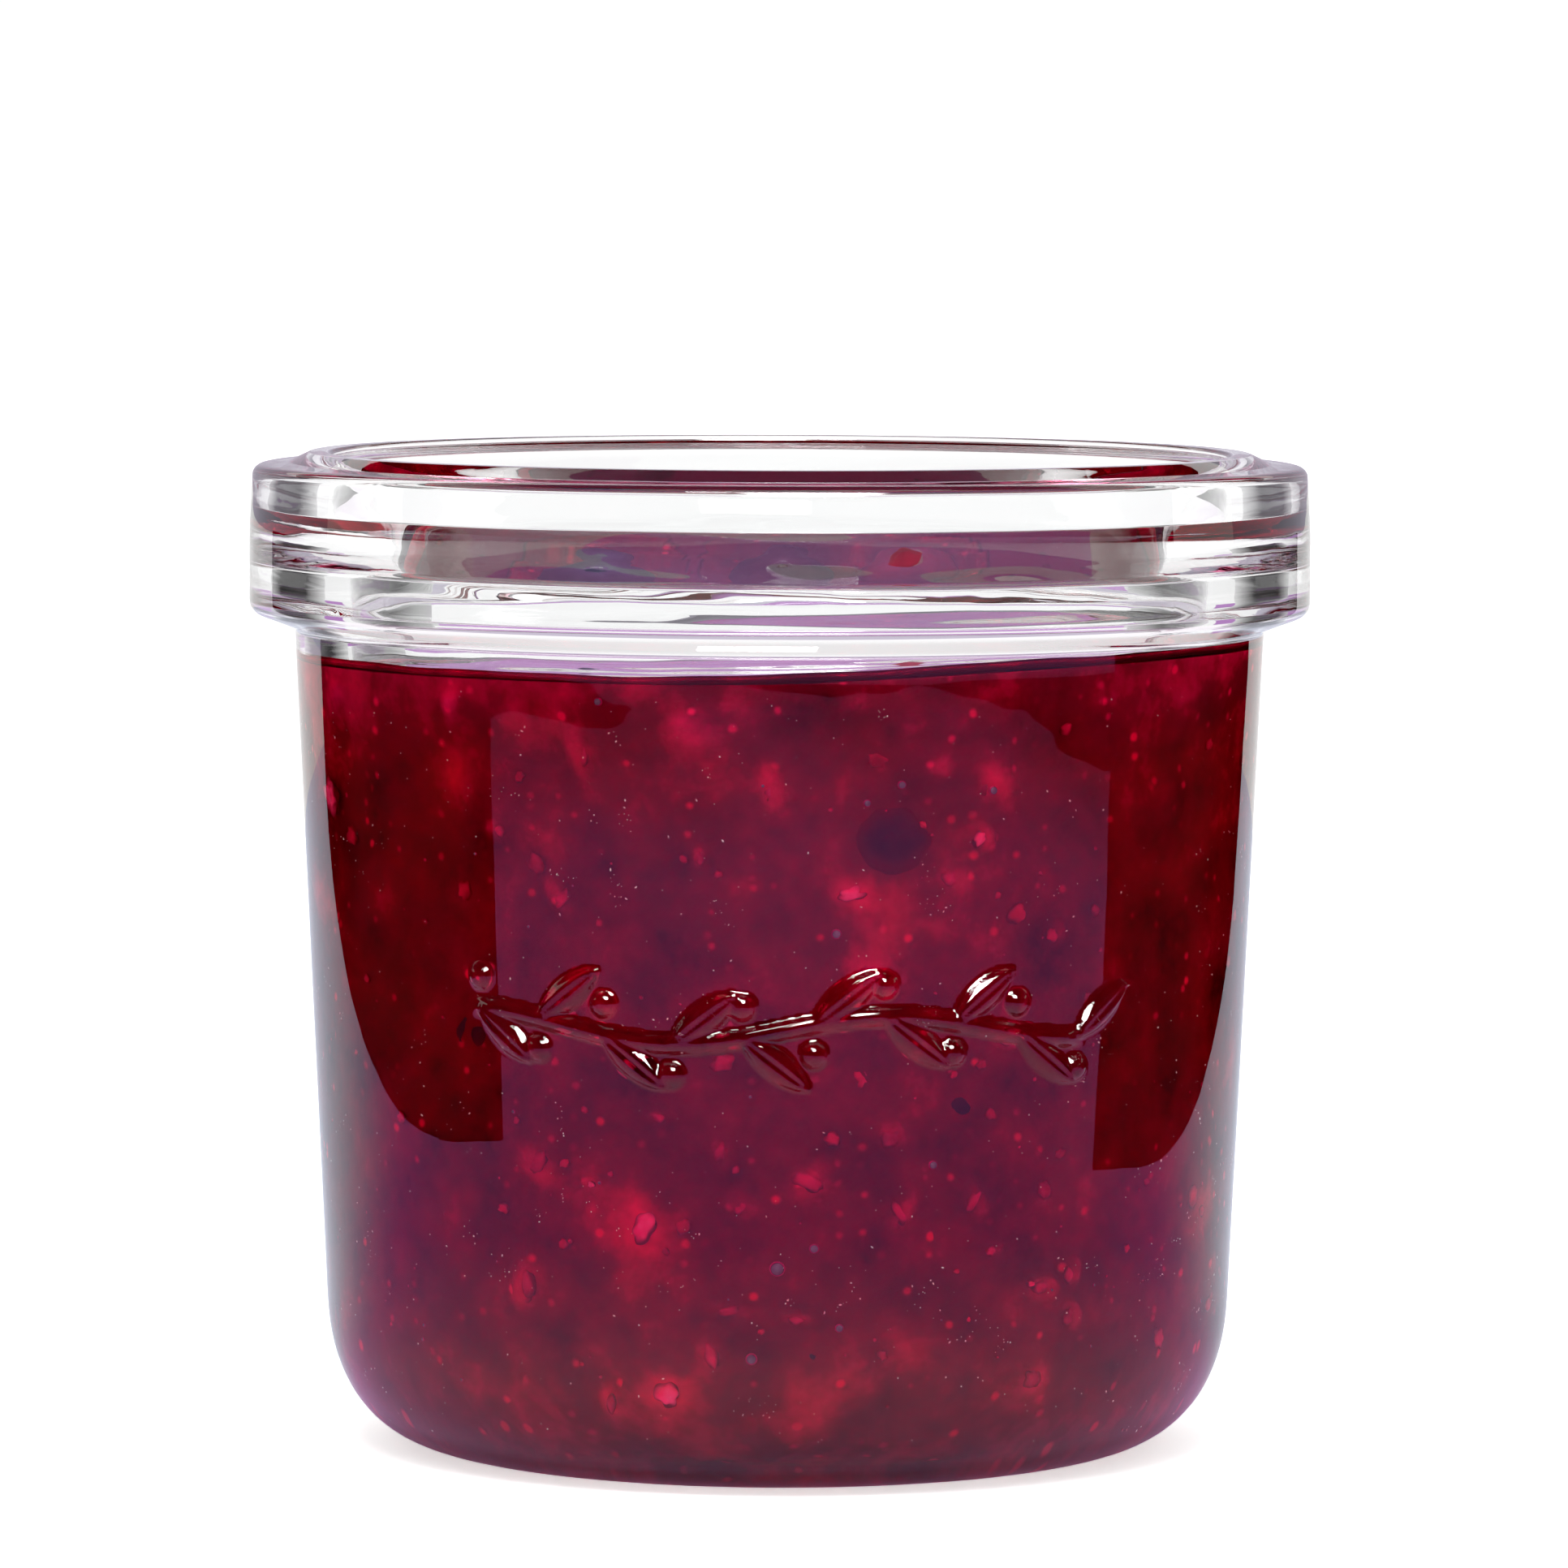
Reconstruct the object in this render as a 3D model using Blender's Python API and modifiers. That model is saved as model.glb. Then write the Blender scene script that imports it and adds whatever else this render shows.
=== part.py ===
"""Open clip-top food jar of thick clear glass, filled with mixed-berry jam.

Metres, +Z up. The origin is on the jar's axis, on the surface that the jar stands on.
The lid and the wire clip that grip the collar are not part of this object.
"""

import math

import bmesh
import bpy
from mathutils import Matrix, Vector

# Jar, outside
HEIGHT = 0.0806
COLLAR_RADIUS = 0.0430
SHOULDER_RADIUS = 0.0427
SHOULDER_DROP = 0.00105  # from the rim down to the shoulder's outer edge
SHOULDER_ROUNDING = 0.0009  # from the shoulder into the collar's side
BULGE_DROP = 0.0063  # from the rim down to where the collar is widest
COLLAR_FOOT_DROP = 0.0128  # from the rim down to the collar's lower edge
BODY_TOP_RADIUS = 0.0393
BODY_TOP_DROP = 0.0142
BODY_LOW_RADIUS = 0.0367
HEEL_HEIGHT = 0.0123  # where the side starts to turn under
HEEL_RADIUS = 0.0259  # outer edge of the ring that the jar stands on
HEEL_POWER = 2.33  # 2 would be a plain elliptical heel
FOOT_WIDTH = 0.0012
PUNT_DEPTH = 0.0014  # how far the middle of the underside is pushed up

# Jar, rim and inside
RIM_OUTER_RADIUS = 0.0397
RIM_STEP = 0.0005  # the sealing ring stands this much above the shoulder
MOUTH_RADIUS = 0.0363
SLOPE_TOP_DROP = 0.0049  # the mouth narrows below this, on a slope
SLOPE_FOOT_DROP = 0.0091
THROAT_DROP = 0.0106  # below this the inside follows the outside
SLOPE_TOP_LEAN = math.radians(18.4)
SLOPE_FOOT_LEAN = math.radians(20.8)
THROAT_RADIUS = 0.0348
INNER_LOW_RADIUS = 0.0327
FLOOR_THICKNESS = 0.0040
INNER_HEEL_HEIGHT = 0.0095
INNER_HEEL_RADIUS = 0.0235
INNER_HEEL_POWER = 2.2

# Sprig in low relief on the front of the jar
SPRIG_HEIGHT = 0.0372
SPRIG_LENGTH = 0.0500
SPRIG_WAVE = 0.0011
SPRIG_WAVES = 1.5
STEM_RADIUS = 0.00060
LEAF_COUNT = 10
LEAF_LENGTH = 0.0066
LEAF_WIDTH = 0.0026
LEAF_TILT = math.radians(38)
FRUIT_RADIUS = 0.00115
RELIEF = 0.00070
RELIEF_SINK = 0.00008  # so that each raised shape is rooted in the glass

# Jam
JAM_LEVEL = 0.06385
JAM_GAP = 0.0003
MENISCUS_HEIGHT = 0.0008
MENISCUS_REACH = 0.0024
LUMP_HEIGHT = 0.0002
SIDE_RISE = 0.00175  # how much higher the jam stands at its right edge
RISE_BLEND = 0.02

# Berries that just break the surface: name, x, y, radius, height above the jam, lean, turn, crowned
BERRIES = (
    ("dark_berry_left", -0.0153, -0.0005, 0.0063, 0.00035, 85, 170, True),
    ("dark_berry_middle", 0.0001, 0.0000, 0.0056, 0.00025, 110, 20, True),
    ("red_berry_right", 0.0109, -0.0009, 0.0046, 0.00035, 100, 100, False),
    ("dark_berry_back", 0.0130, 0.0165, 0.0054, 0.00025, 95, 320, True),
    ("red_berry_back", -0.0070, 0.0175, 0.0044, 0.00025, 120, 250, False),
)
BERRY_FLATNESS = 0.88
CROWN_POINTS = 5

JAR_SEGMENTS = 60
JAM_SEGMENTS = 48
BERRY_SEGMENTS = 16
BERRY_RINGS = 10
BOSS_SEGMENTS = 10
BOSS_RINGS = 6
MERGE = 0.00001

CLEAR_GLASS = ((0.93, 0.96, 0.95, 1.0), 0.02)
DARK_JAM = ((0.17, 0.005, 0.03, 1.0), 0.12)
BLUE_SKIN = ((0.06, 0.05, 0.11, 1.0), 0.35)
RED_SKIN = ((0.36, 0.01, 0.03, 1.0), 0.25)


def clear_scene():
    for obj in list(bpy.data.objects):
        bpy.data.objects.remove(obj, do_unlink=True)


def new_collection(name):
    collection = bpy.data.collections.new(name)
    bpy.context.scene.collection.children.link(collection)
    return collection


def new_material(name, look, transmission=0.0):
    colour, roughness = look
    material = bpy.data.materials.new(name)
    material.use_nodes = True
    shader = material.node_tree.nodes["Principled BSDF"]
    shader.inputs["Base Color"].default_value = colour
    shader.inputs["Roughness"].default_value = roughness
    shader.inputs["Metallic"].default_value = 0.0
    shader.inputs["Transmission Weight"].default_value = transmission
    shader.inputs["IOR"].default_value = 1.5
    return material


def rounded(corners, steps=3):
    """The outline through corners (radius, height, rounding), each rounded corner as an arc."""
    outline = []
    for index, (x, z, rounding) in enumerate(corners):
        corner = Vector((x, z))
        if rounding == 0.0:
            outline.append(corner)
            continue
        before = Vector(corners[index - 1][:2]) - corner
        after = Vector(corners[index + 1][:2]) - corner
        half_angle = before.angle(after) / 2
        reach = rounding / math.tan(half_angle)
        middle = (before.normalized() + after.normalized()).normalized()
        centre = corner + middle * (rounding / math.sin(half_angle))
        first = corner + before.normalized() * reach - centre
        turn = first.angle_signed(corner + after.normalized() * reach - centre)
        for step in range(steps + 1):
            outline.append(centre + Matrix.Rotation(-turn * step / steps, 2) @ first)
    return outline


def heel(flat_radius, wall_radius, lean, height, power, steps):
    """A turned-under corner, from the flat at height 0 up to the wall, which leans out by lean."""
    across = wall_radius - lean * height - flat_radius
    points = []
    for step in range(steps + 1):
        angle = math.pi / 2 * step / steps
        up = height * (1 - math.cos(angle) ** (2 / power))
        out = flat_radius + across * math.sin(angle) ** (2 / power) + lean * up
        points.append(Vector((out, up)))
    return points


def inner_lean():
    wall_top = HEIGHT - THROAT_DROP
    wall_bottom = FLOOR_THICKNESS + INNER_HEEL_HEIGHT
    return (THROAT_RADIUS - INNER_LOW_RADIUS) / (wall_top - wall_bottom)


def inner_heel(steps):
    corner = heel(
        INNER_HEEL_RADIUS, INNER_LOW_RADIUS, inner_lean(), INNER_HEEL_HEIGHT, INNER_HEEL_POWER, steps
    )
    return [point + Vector((0.0, FLOOR_THICKNESS)) for point in corner]


def inside_outline():
    """From the middle of the jar's floor up to the mouth."""
    half_slope = (SLOPE_FOOT_DROP - SLOPE_TOP_DROP) / 2
    slope_top = Vector((MOUTH_RADIUS, HEIGHT - SLOPE_TOP_DROP))
    bend = slope_top - Vector((half_slope * math.tan(SLOPE_TOP_LEAN), half_slope))
    foot = bend - Vector((half_slope * math.tan(SLOPE_FOOT_LEAN), half_slope))
    throat = Vector((THROAT_RADIUS, HEIGHT - THROAT_DROP))
    points = [Vector((0.0, FLOOR_THICKNESS))]
    points += inner_heel(steps=7)
    points.append(throat)
    points += [foot, bend, slope_top]
    return points


def rim_outline():
    """Over the mouth's edge, the sealing ring, the shoulder and the collar, down to the body."""
    rim_width = RIM_OUTER_RADIUS - MOUTH_RADIUS
    corners = (
        (MOUTH_RADIUS, HEIGHT - SLOPE_TOP_DROP, 0.0),
        (MOUTH_RADIUS, HEIGHT, 0.16 * rim_width),
        (RIM_OUTER_RADIUS, HEIGHT, 0.12 * rim_width),
        (RIM_OUTER_RADIUS + 0.0001, HEIGHT - RIM_STEP, 0.0),
        (SHOULDER_RADIUS, HEIGHT - SHOULDER_DROP, SHOULDER_ROUNDING),
        (COLLAR_RADIUS, HEIGHT - BULGE_DROP, 0.0),
        (COLLAR_RADIUS, HEIGHT - COLLAR_FOOT_DROP, 0.0012),
        (BODY_TOP_RADIUS, HEIGHT - BODY_TOP_DROP, 0.0005),
        (BODY_LOW_RADIUS, HEEL_HEIGHT, 0.0),
    )
    return rounded(corners)[1:-1]


def outside_outline():
    """The heel and the underside, from the body's lower edge in to the axis."""
    lean = (BODY_TOP_RADIUS - BODY_LOW_RADIUS) / (HEIGHT - BODY_TOP_DROP - HEEL_HEIGHT)
    points = heel(HEEL_RADIUS, BODY_LOW_RADIUS, lean, HEEL_HEIGHT, HEEL_POWER, steps=10)[::-1]
    punt_radius = HEEL_RADIUS - FOOT_WIDTH
    for step in range(6):
        share = 1 - step / 5
        dome = PUNT_DEPTH * (1 - share**2) ** 0.8
        points.append(Vector((punt_radius * share, dome)))
    return points


def turned(name, outline, segments, collection, material=None):
    """An outline turned round the Z axis by a Screw modifier."""
    mesh = bpy.data.meshes.new(name)
    edges = [(index, index + 1) for index in range(len(outline) - 1)]
    mesh.from_pydata([(point.x, 0.0, point.y) for point in outline], edges, [])
    obj = bpy.data.objects.new(name, mesh)
    collection.objects.link(obj)
    screw = obj.modifiers.new("turn", "SCREW")
    screw.steps = segments
    screw.render_steps = segments
    screw.use_merge_vertices = True
    screw.merge_threshold = MERGE
    screw.use_smooth_shade = True
    if material:
        mesh.materials.append(material)
    return obj


def made_mesh(obj, collection):
    """The object's evaluated shape as a plain mesh object in its place, with loose caps welded."""
    graph = bpy.context.evaluated_depsgraph_get()
    mesh = bpy.data.meshes.new_from_object(obj.evaluated_get(graph))
    work = bmesh.new()
    work.from_mesh(mesh)
    bmesh.ops.remove_doubles(work, verts=work.verts, dist=MERGE)
    work.to_mesh(mesh)
    work.free()
    name, world = obj.name, obj.matrix_world.copy()
    bpy.data.objects.remove(obj, do_unlink=True)
    made = bpy.data.objects.new(name, mesh)
    made.matrix_world = world
    collection.objects.link(made)
    return made


def body_radius(height):
    share = (height - HEEL_HEIGHT) / (HEIGHT - BODY_TOP_DROP - HEEL_HEIGHT)
    return BODY_LOW_RADIUS + share * (BODY_TOP_RADIUS - BODY_LOW_RADIUS)


def on_wall(along, height):
    """A place just inside the jar's front, along its curve from the middle, with Y into the glass."""
    radius = body_radius(height)
    angle = along / radius
    depth = radius - RELIEF_SINK
    place = Vector((depth * math.sin(angle), -depth * math.cos(angle), height))
    return Matrix.Translation(place) @ Matrix.Rotation(angle, 4, "Z")


def stem_height(along):
    return SPRIG_HEIGHT + SPRIG_WAVE * math.sin(2 * math.pi * SPRIG_WAVES * along / SPRIG_LENGTH)


def wall_dome(name, along, height, length, width, tilt, collection):
    """A rounded boss on the jar's front, half sunk in the glass."""
    mesh = bpy.data.meshes.new(name)
    work = bmesh.new()
    bmesh.ops.create_uvsphere(work, u_segments=BOSS_SEGMENTS, v_segments=BOSS_RINGS, radius=1.0)
    work.to_mesh(mesh)
    work.free()
    size = Matrix.Diagonal((length / 2, RELIEF, width / 2, 1.0))
    mesh.transform(on_wall(along, height) @ Matrix.Rotation(tilt, 4, "Y") @ size)
    boss = bpy.data.objects.new(name, mesh)
    collection.objects.link(boss)
    return boss


def sprig_leaves(collection):
    """Leaves in turn above and below the stem, with a small fruit opposite each one."""
    for number in range(LEAF_COUNT):
        along = SPRIG_LENGTH * (number / (LEAF_COUNT - 1) - 0.5)
        side = 1 if number % 2 else -1
        foot = stem_height(along)
        out_along = along + 0.5 * LEAF_LENGTH * math.cos(LEAF_TILT)
        out_height = foot + side * 0.5 * LEAF_LENGTH * math.sin(LEAF_TILT)
        wall_dome(
            f"leaf_{number}", out_along, out_height, LEAF_LENGTH, LEAF_WIDTH, -side * LEAF_TILT, collection
        )
        fruit_height = foot - side * 2.1 * FRUIT_RADIUS
        wall_dome(
            f"fruit_{number}", along, fruit_height, 2 * FRUIT_RADIUS, 2 * FRUIT_RADIUS, 0.0, collection
        )


def sprig_stem(collection):
    curve = bpy.data.curves.new("stem", "CURVE")
    curve.dimensions = "3D"
    curve.bevel_depth = STEM_RADIUS
    curve.bevel_resolution = 1
    curve.use_fill_caps = True
    steps = 36
    spline = curve.splines.new("POLY")
    spline.points.add(steps)
    for index, point in enumerate(spline.points):
        along = SPRIG_LENGTH * (index / steps - 0.5) * 1.04
        point.co = (*on_wall(along, stem_height(along)).translation, 1.0)
    stem = bpy.data.objects.new("stem", curve)
    collection.objects.link(stem)
    bpy.context.view_layer.update()
    return made_mesh(stem, collection)


def apply_modifiers(obj, collection):
    material = obj.data.materials[0]
    made = made_mesh(obj, collection)
    made.data.materials.clear()
    made.data.materials.append(material)
    made.data.shade_smooth()
    made.data.set_sharp_from_angle(angle=math.radians(35))
    return made


def make_jar(parts, helpers):
    outline = inside_outline() + rim_outline() + outside_outline()
    jar = turned("jar", outline, JAR_SEGMENTS, parts, new_material("clear_glass", CLEAR_GLASS, 1.0))
    relief = new_collection("relief")
    sprig_leaves(relief)
    sprig_stem(relief)
    union = jar.modifiers.new("sprig", "BOOLEAN")
    union.operation = "UNION"
    union.operand_type = "COLLECTION"
    union.collection = relief
    union.solver = "EXACT"
    bpy.context.view_layer.update()
    jar = apply_modifiers(jar, parts)
    for obj in list(relief.objects):
        bpy.data.objects.remove(obj, do_unlink=True)
    bpy.data.collections.remove(relief)
    return jar


def berry_outline(radius, crowned):
    """A slightly flat berry from its top down, with a sunk and raised crown on the crowned kind."""
    outline = []
    if crowned:
        outline.append(Vector((0.0, radius * 0.70)))
        outline.append(Vector((radius * 0.20, radius * 0.73)))
        outline.append(Vector((radius * 0.30, radius * 0.89)))
        outline.append(Vector((radius * 0.38, radius * 0.88)))
        start = math.radians(30)
    else:
        outline.append(Vector((0.0, radius * 0.84)))
        start = math.radians(12)
    for step in range(BERRY_RINGS):
        angle = start + (math.pi - start) * step / (BERRY_RINGS - 1)
        outline.append(Vector((radius * math.sin(angle), radius * BERRY_FLATNESS * math.cos(angle))))
    outline[-1].x = 0.0
    return outline


def shape_crown(mesh, radius):
    """Cuts the raised ring of the crown into points."""
    for vertex in mesh.vertices:
        out = math.hypot(vertex.co.x, vertex.co.y)
        if vertex.co.z > 0.85 * radius and 0.25 * radius < out < 0.45 * radius:
            angle = math.atan2(vertex.co.y, vertex.co.x)
            vertex.co.z -= radius * 0.10 * (0.5 - 0.5 * math.cos(CROWN_POINTS * angle))


def make_berry(name, place, radius, lean, turn, crowned, grow, collection, material):
    berry = turned(name, berry_outline(radius, crowned), BERRY_SEGMENTS, collection, material)
    bpy.context.view_layer.update()
    berry = made_mesh(berry, collection)
    if crowned:
        shape_crown(berry.data, radius)
    stretch = Matrix.Diagonal((1 + grow / radius, 1 + grow / radius, 1 + grow / radius, 1.0))
    tip = Matrix.Rotation(math.radians(turn), 4, "Z") @ Matrix.Rotation(math.radians(lean), 4, "Y")
    berry.data.transform(tip @ stretch)
    berry.location = place
    berry.data.shade_smooth()
    if material and not berry.data.materials:
        berry.data.materials.append(material)
    return berry


def side_rise(x):
    """How far the jam climbs towards the right."""
    share = x / THROAT_RADIUS
    climb = 0.5 * (share + math.sqrt(share**2 + RISE_BLEND))
    return SIDE_RISE * climb * (1.57 - 0.57 * climb)


def make_berries(parts, cutters):
    blue = new_material("blue_skin", BLUE_SKIN)
    red = new_material("red_skin", RED_SKIN)
    for name, x, y, radius, above, lean, turn, crowned in BERRIES:
        upright = abs(math.cos(math.radians(lean))) * BERRY_FLATNESS
        half_height = radius * math.hypot(math.sin(math.radians(lean)), upright)
        place = Vector((x, y, JAM_LEVEL + side_rise(x) + above - half_height))
        skin = blue if crowned else red
        make_berry(name, place, radius, lean, turn, crowned, 0.0, parts, skin)
        socket = make_berry(name + "_socket", place, radius, lean, turn, False, JAM_GAP * 1.6, cutters, None)
        socket.hide_render = True
        socket.display_type = "WIRE"


def jam_outline():
    """From the middle of the jam's surface out to the meniscus, then down inside the glass."""
    slope = inner_lean()
    wall_bottom = FLOOR_THICKNESS + INNER_HEEL_HEIGHT
    edge_height = JAM_LEVEL + MENISCUS_HEIGHT
    edge_radius = INNER_LOW_RADIUS + slope * (edge_height - wall_bottom) - JAM_GAP
    points = []
    flat_radius = edge_radius - MENISCUS_REACH
    rings = 11
    for ring in range(rings + 1):
        points.append(Vector((flat_radius * ring / rings, JAM_LEVEL)))
    for step in (0.4, 0.75, 1.0):
        rise = MENISCUS_HEIGHT * step**2
        points.append(Vector((flat_radius + MENISCUS_REACH * step, JAM_LEVEL + rise)))
    for point in inner_heel(steps=7)[::-1]:
        inwards = Vector((point.x - INNER_HEEL_RADIUS, 0.0)).length / (INNER_LOW_RADIUS - INNER_HEEL_RADIUS)
        points.append(Vector((point.x - JAM_GAP * inwards, point.y + JAM_GAP * (2 - inwards))))
    points.append(Vector((0.0, FLOOR_THICKNESS + JAM_GAP * 2)))
    return points


def lump(x, y):
    """The jam's gentle unevenness, which dies away at the wall."""
    wave = math.sin(310 * x + 1.3) * math.cos(270 * y - 0.4) + 0.6 * math.sin(520 * y + 190 * x)
    calm = max(0.0, 1 - (math.hypot(x, y) / 0.031) ** 4)
    return LUMP_HEIGHT * wave * calm


def make_jam(parts, cutters):
    jam = turned("jam", jam_outline(), JAM_SEGMENTS, parts, new_material("berry_jam", DARK_JAM))
    bpy.context.view_layer.update()
    jam = apply_modifiers(jam, parts)
    for vertex in jam.data.vertices:
        if vertex.co.z > JAM_LEVEL - MERGE:
            vertex.co.z += lump(vertex.co.x, vertex.co.y) + side_rise(vertex.co.x)
    cut = jam.modifiers.new("sockets", "BOOLEAN")
    cut.operation = "DIFFERENCE"
    cut.operand_type = "COLLECTION"
    cut.collection = cutters
    cut.solver = "EXACT"
    return jam


def main():
    clear_scene()
    parts = new_collection("clip_top_jar")
    cutters = new_collection("cutters")
    make_jar(parts, cutters)
    make_berries(parts, cutters)
    make_jam(parts, cutters)


main()
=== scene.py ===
"""Looks of an open clip-top jar of berry jam: glass, jam, fruit, studio and camera."""

import math
import random

import bmesh
import bpy
import numpy as np
from mathutils import Matrix, Vector, noise


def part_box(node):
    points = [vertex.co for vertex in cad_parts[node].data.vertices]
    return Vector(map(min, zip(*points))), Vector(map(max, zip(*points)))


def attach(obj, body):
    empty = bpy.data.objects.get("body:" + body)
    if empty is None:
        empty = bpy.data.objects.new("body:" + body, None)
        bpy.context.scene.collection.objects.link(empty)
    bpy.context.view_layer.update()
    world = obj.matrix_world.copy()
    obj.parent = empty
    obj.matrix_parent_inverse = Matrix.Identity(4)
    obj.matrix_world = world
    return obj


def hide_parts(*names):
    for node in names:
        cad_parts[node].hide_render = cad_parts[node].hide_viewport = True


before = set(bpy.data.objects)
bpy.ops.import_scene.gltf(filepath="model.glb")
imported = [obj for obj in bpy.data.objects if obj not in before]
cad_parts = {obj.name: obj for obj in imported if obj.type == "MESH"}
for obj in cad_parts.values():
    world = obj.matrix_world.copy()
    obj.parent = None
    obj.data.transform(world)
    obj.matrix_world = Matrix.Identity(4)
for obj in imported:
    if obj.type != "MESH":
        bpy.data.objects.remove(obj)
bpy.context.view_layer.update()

MM = 0.001
ON_AXIS = 1e-7

# The jar's outside, from the frame
JAR_LOW, JAR_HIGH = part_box("jar")
HEIGHT = JAR_HIGH.z
COLLAR_RADIUS = JAR_HIGH.x
SHOULDER_RADIUS = COLLAR_RADIUS - 0.3 * MM
SHOULDER_DROP = 1.05 * MM
SHOULDER_ROUNDING = 0.9 * MM
BULGE_DROP = 6.3 * MM
BULGE_ROUNDING = 30.0 * MM
COLLAR_FOOT_DROP = 12.8 * MM
BODY_TOP_RADIUS = COLLAR_RADIUS - 3.7 * MM
BODY_TOP_DROP = 14.2 * MM
BODY_LOW_RADIUS = COLLAR_RADIUS - 6.3 * MM
HEEL_HEIGHT = 12.3 * MM
HEEL_RADIUS = 25.9 * MM
HEEL_POWER = 2.33
FOOT_WIDTH = 1.2 * MM
PUNT_DEPTH = 1.4 * MM

# The jar's rim and inside
RIM_OUTER_RADIUS = COLLAR_RADIUS - 3.3 * MM
RIM_STEP = 0.8 * MM
RIM_BEVEL = 1.6 * MM
MOUTH_RADIUS = COLLAR_RADIUS - 6.7 * MM
SLOPE_TOP_DROP = 4.9 * MM
SLOPE_FOOT_DROP = 9.1 * MM
THROAT_DROP = 10.6 * MM
SLOPE_TOP_LEAN = math.radians(18.4)
SLOPE_FOOT_LEAN = math.radians(20.8)
THROAT_RADIUS = COLLAR_RADIUS - 8.2 * MM
INNER_LOW_RADIUS = COLLAR_RADIUS - 10.3 * MM
FLOOR_THICKNESS = 4.0 * MM
INNER_HEEL_HEIGHT = 9.5 * MM
INNER_HEEL_RADIUS = 23.5 * MM
INNER_HEEL_POWER = 2.2
INNER_LEAN = (THROAT_RADIUS - INNER_LOW_RADIUS) / (
    (HEIGHT - THROAT_DROP) - (FLOOR_THICKNESS + INNER_HEEL_HEIGHT)
)

# The sprig in low relief
SPRIG_HEIGHT = 37.2 * MM
SPRIG_LENGTH = 50.0 * MM
SPRIG_WAVE = 1.1 * MM
SPRIG_WAVES = 1.5
STEM_RADIUS = 0.65 * MM
LEAF_COUNT = 10
LEAF_LENGTH = 6.6 * MM
LEAF_WIDTH = 2.6 * MM
LEAF_TILT = math.radians(38)
FRUIT_RADIUS = 1.15 * MM
RELIEF = 0.75 * MM
RELIEF_MARGIN = 5.2 * MM
RELIEF_GRID = 0.22 * MM
COLLAR_GRID = 0.5 * MM
WALL_GRID = 2.0 * MM
COLLAR_WAVE = 0.005 * MM

# The jam
JAM_LEVEL = 63.85 * MM
SIDE_RISE = 1.75 * MM
RISE_BLEND = 0.02
MENISCUS_HEIGHT = 0.8 * MM
MENISCUS_REACH = 2.4 * MM
MENISCUS_POWER = 2.6
CONTACT_HEIGHT = JAM_LEVEL + MENISCUS_HEIGHT
BACK_DROP = 0.65 * MM
WALL_BITE = 0.05 * MM
GEL_COLUMNS = 240
PULP_COLUMNS = 400
JAM_IOR = 1.42
GLASS_IOR = 1.52
GLASS_COLOUR = (0.985, 0.99, 0.99, 1.0)
GEL_COLOUR = (1.0, 0.97, 0.98, 1.0)
SOAK_COLOUR = (0.935, 0.01, 0.42, 1.0)
SOAK_DENSITY = 700.0

# The camera
CAMERA_DISTANCE = 0.750
CAMERA_HEIGHT = 0.1096
CAMERA_PITCH = math.radians(4.27)
CAMERA_ROLL = math.radians(0.2)
CAMERA_LENS = 212.4
SENSOR_WIDTH = 36.0
CAMERA_SIDE = 0.0004
BOUNCES = 32


# ----------- materials and objects

class Paint:
    """A material in the making; each call makes a node, or sets and links sockets."""

    def __init__(self, name):
        self.material = bpy.data.materials.new(name)
        self.material.use_nodes = True
        self.tree = self.material.node_tree
        self.shader = self.tree.nodes["Principled BSDF"]

    def put(self, inputs, node=None):
        """Sets sockets of a node, or of the shader. A value that is another node's output is linked."""
        sockets = (node or self.shader).inputs
        for key, value in inputs.items():
            if isinstance(value, bpy.types.NodeSocket):
                self.tree.links.new(value, sockets[key])
            else:
                sockets[key].default_value = value

    def add(self, kind, inputs=None, **settings):
        """A new node, with settings such as its operation, and then its sockets."""
        node = self.tree.nodes.new("ShaderNode" + kind)
        for key, value in settings.items():
            setattr(node, key, value)
        self.put(inputs or {}, node)
        return node

    def place(self):
        """An object's own places."""
        return self.add("TexCoord").outputs["Object"]

    def split(self, vector):
        return self.add("SeparateXYZ", {"Vector": vector}).outputs

    def math(self, operation, *values):
        return self.add("Math", dict(enumerate(values)), operation=operation).outputs["Value"]

    def attribute(self, name):
        return self.add("Attribute", attribute_name=name).outputs["Fac"]

    def ease(self, value, start, end, top=1.0):
        """0 where the value is at start, and top where it is at end, with an easy way between."""
        inputs = {"Value": value, "From Min": start, "From Max": end, "To Max": top}
        return self.add("MapRange", inputs, interpolation_type="SMOOTHSTEP").outputs["Result"]

    def ramp(self, factor, stops):
        """A colour by a factor; stops are pairs of position and colour."""
        node = self.add("ValToRGB", {"Fac": factor})
        elements = node.color_ramp.elements
        while len(elements) < len(stops):
            elements.new(0.5)
        for element, (position, colour) in zip(elements, stops):
            element.position = position
            element.color = (*colour, 1.0)
        return node.outputs["Color"]

    def mix(self, factor, a, b):
        """A colour from a to b by a factor."""
        return self.add("Mix", {"Factor": factor, "A": a, "B": b}, data_type="RGBA").outputs["Result"]

    def bump(self, height, strength, distance):
        inputs = {"Height": height, "Strength": strength, "Distance": distance}
        self.put({"Normal": self.add("Bump", inputs).outputs["Normal"]})


def add_object(name, data, *materials):
    """An object of a mesh, a light or a camera."""
    for material in materials:
        data.materials.append(material)
    obj = bpy.data.objects.new(name, data)
    bpy.context.scene.collection.objects.link(obj)
    return obj


def mesh_of(name, places, faces):
    mesh = bpy.data.meshes.new(name)
    mesh.from_pydata(places, [], faces)
    return mesh


# ----------- outlines

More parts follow.
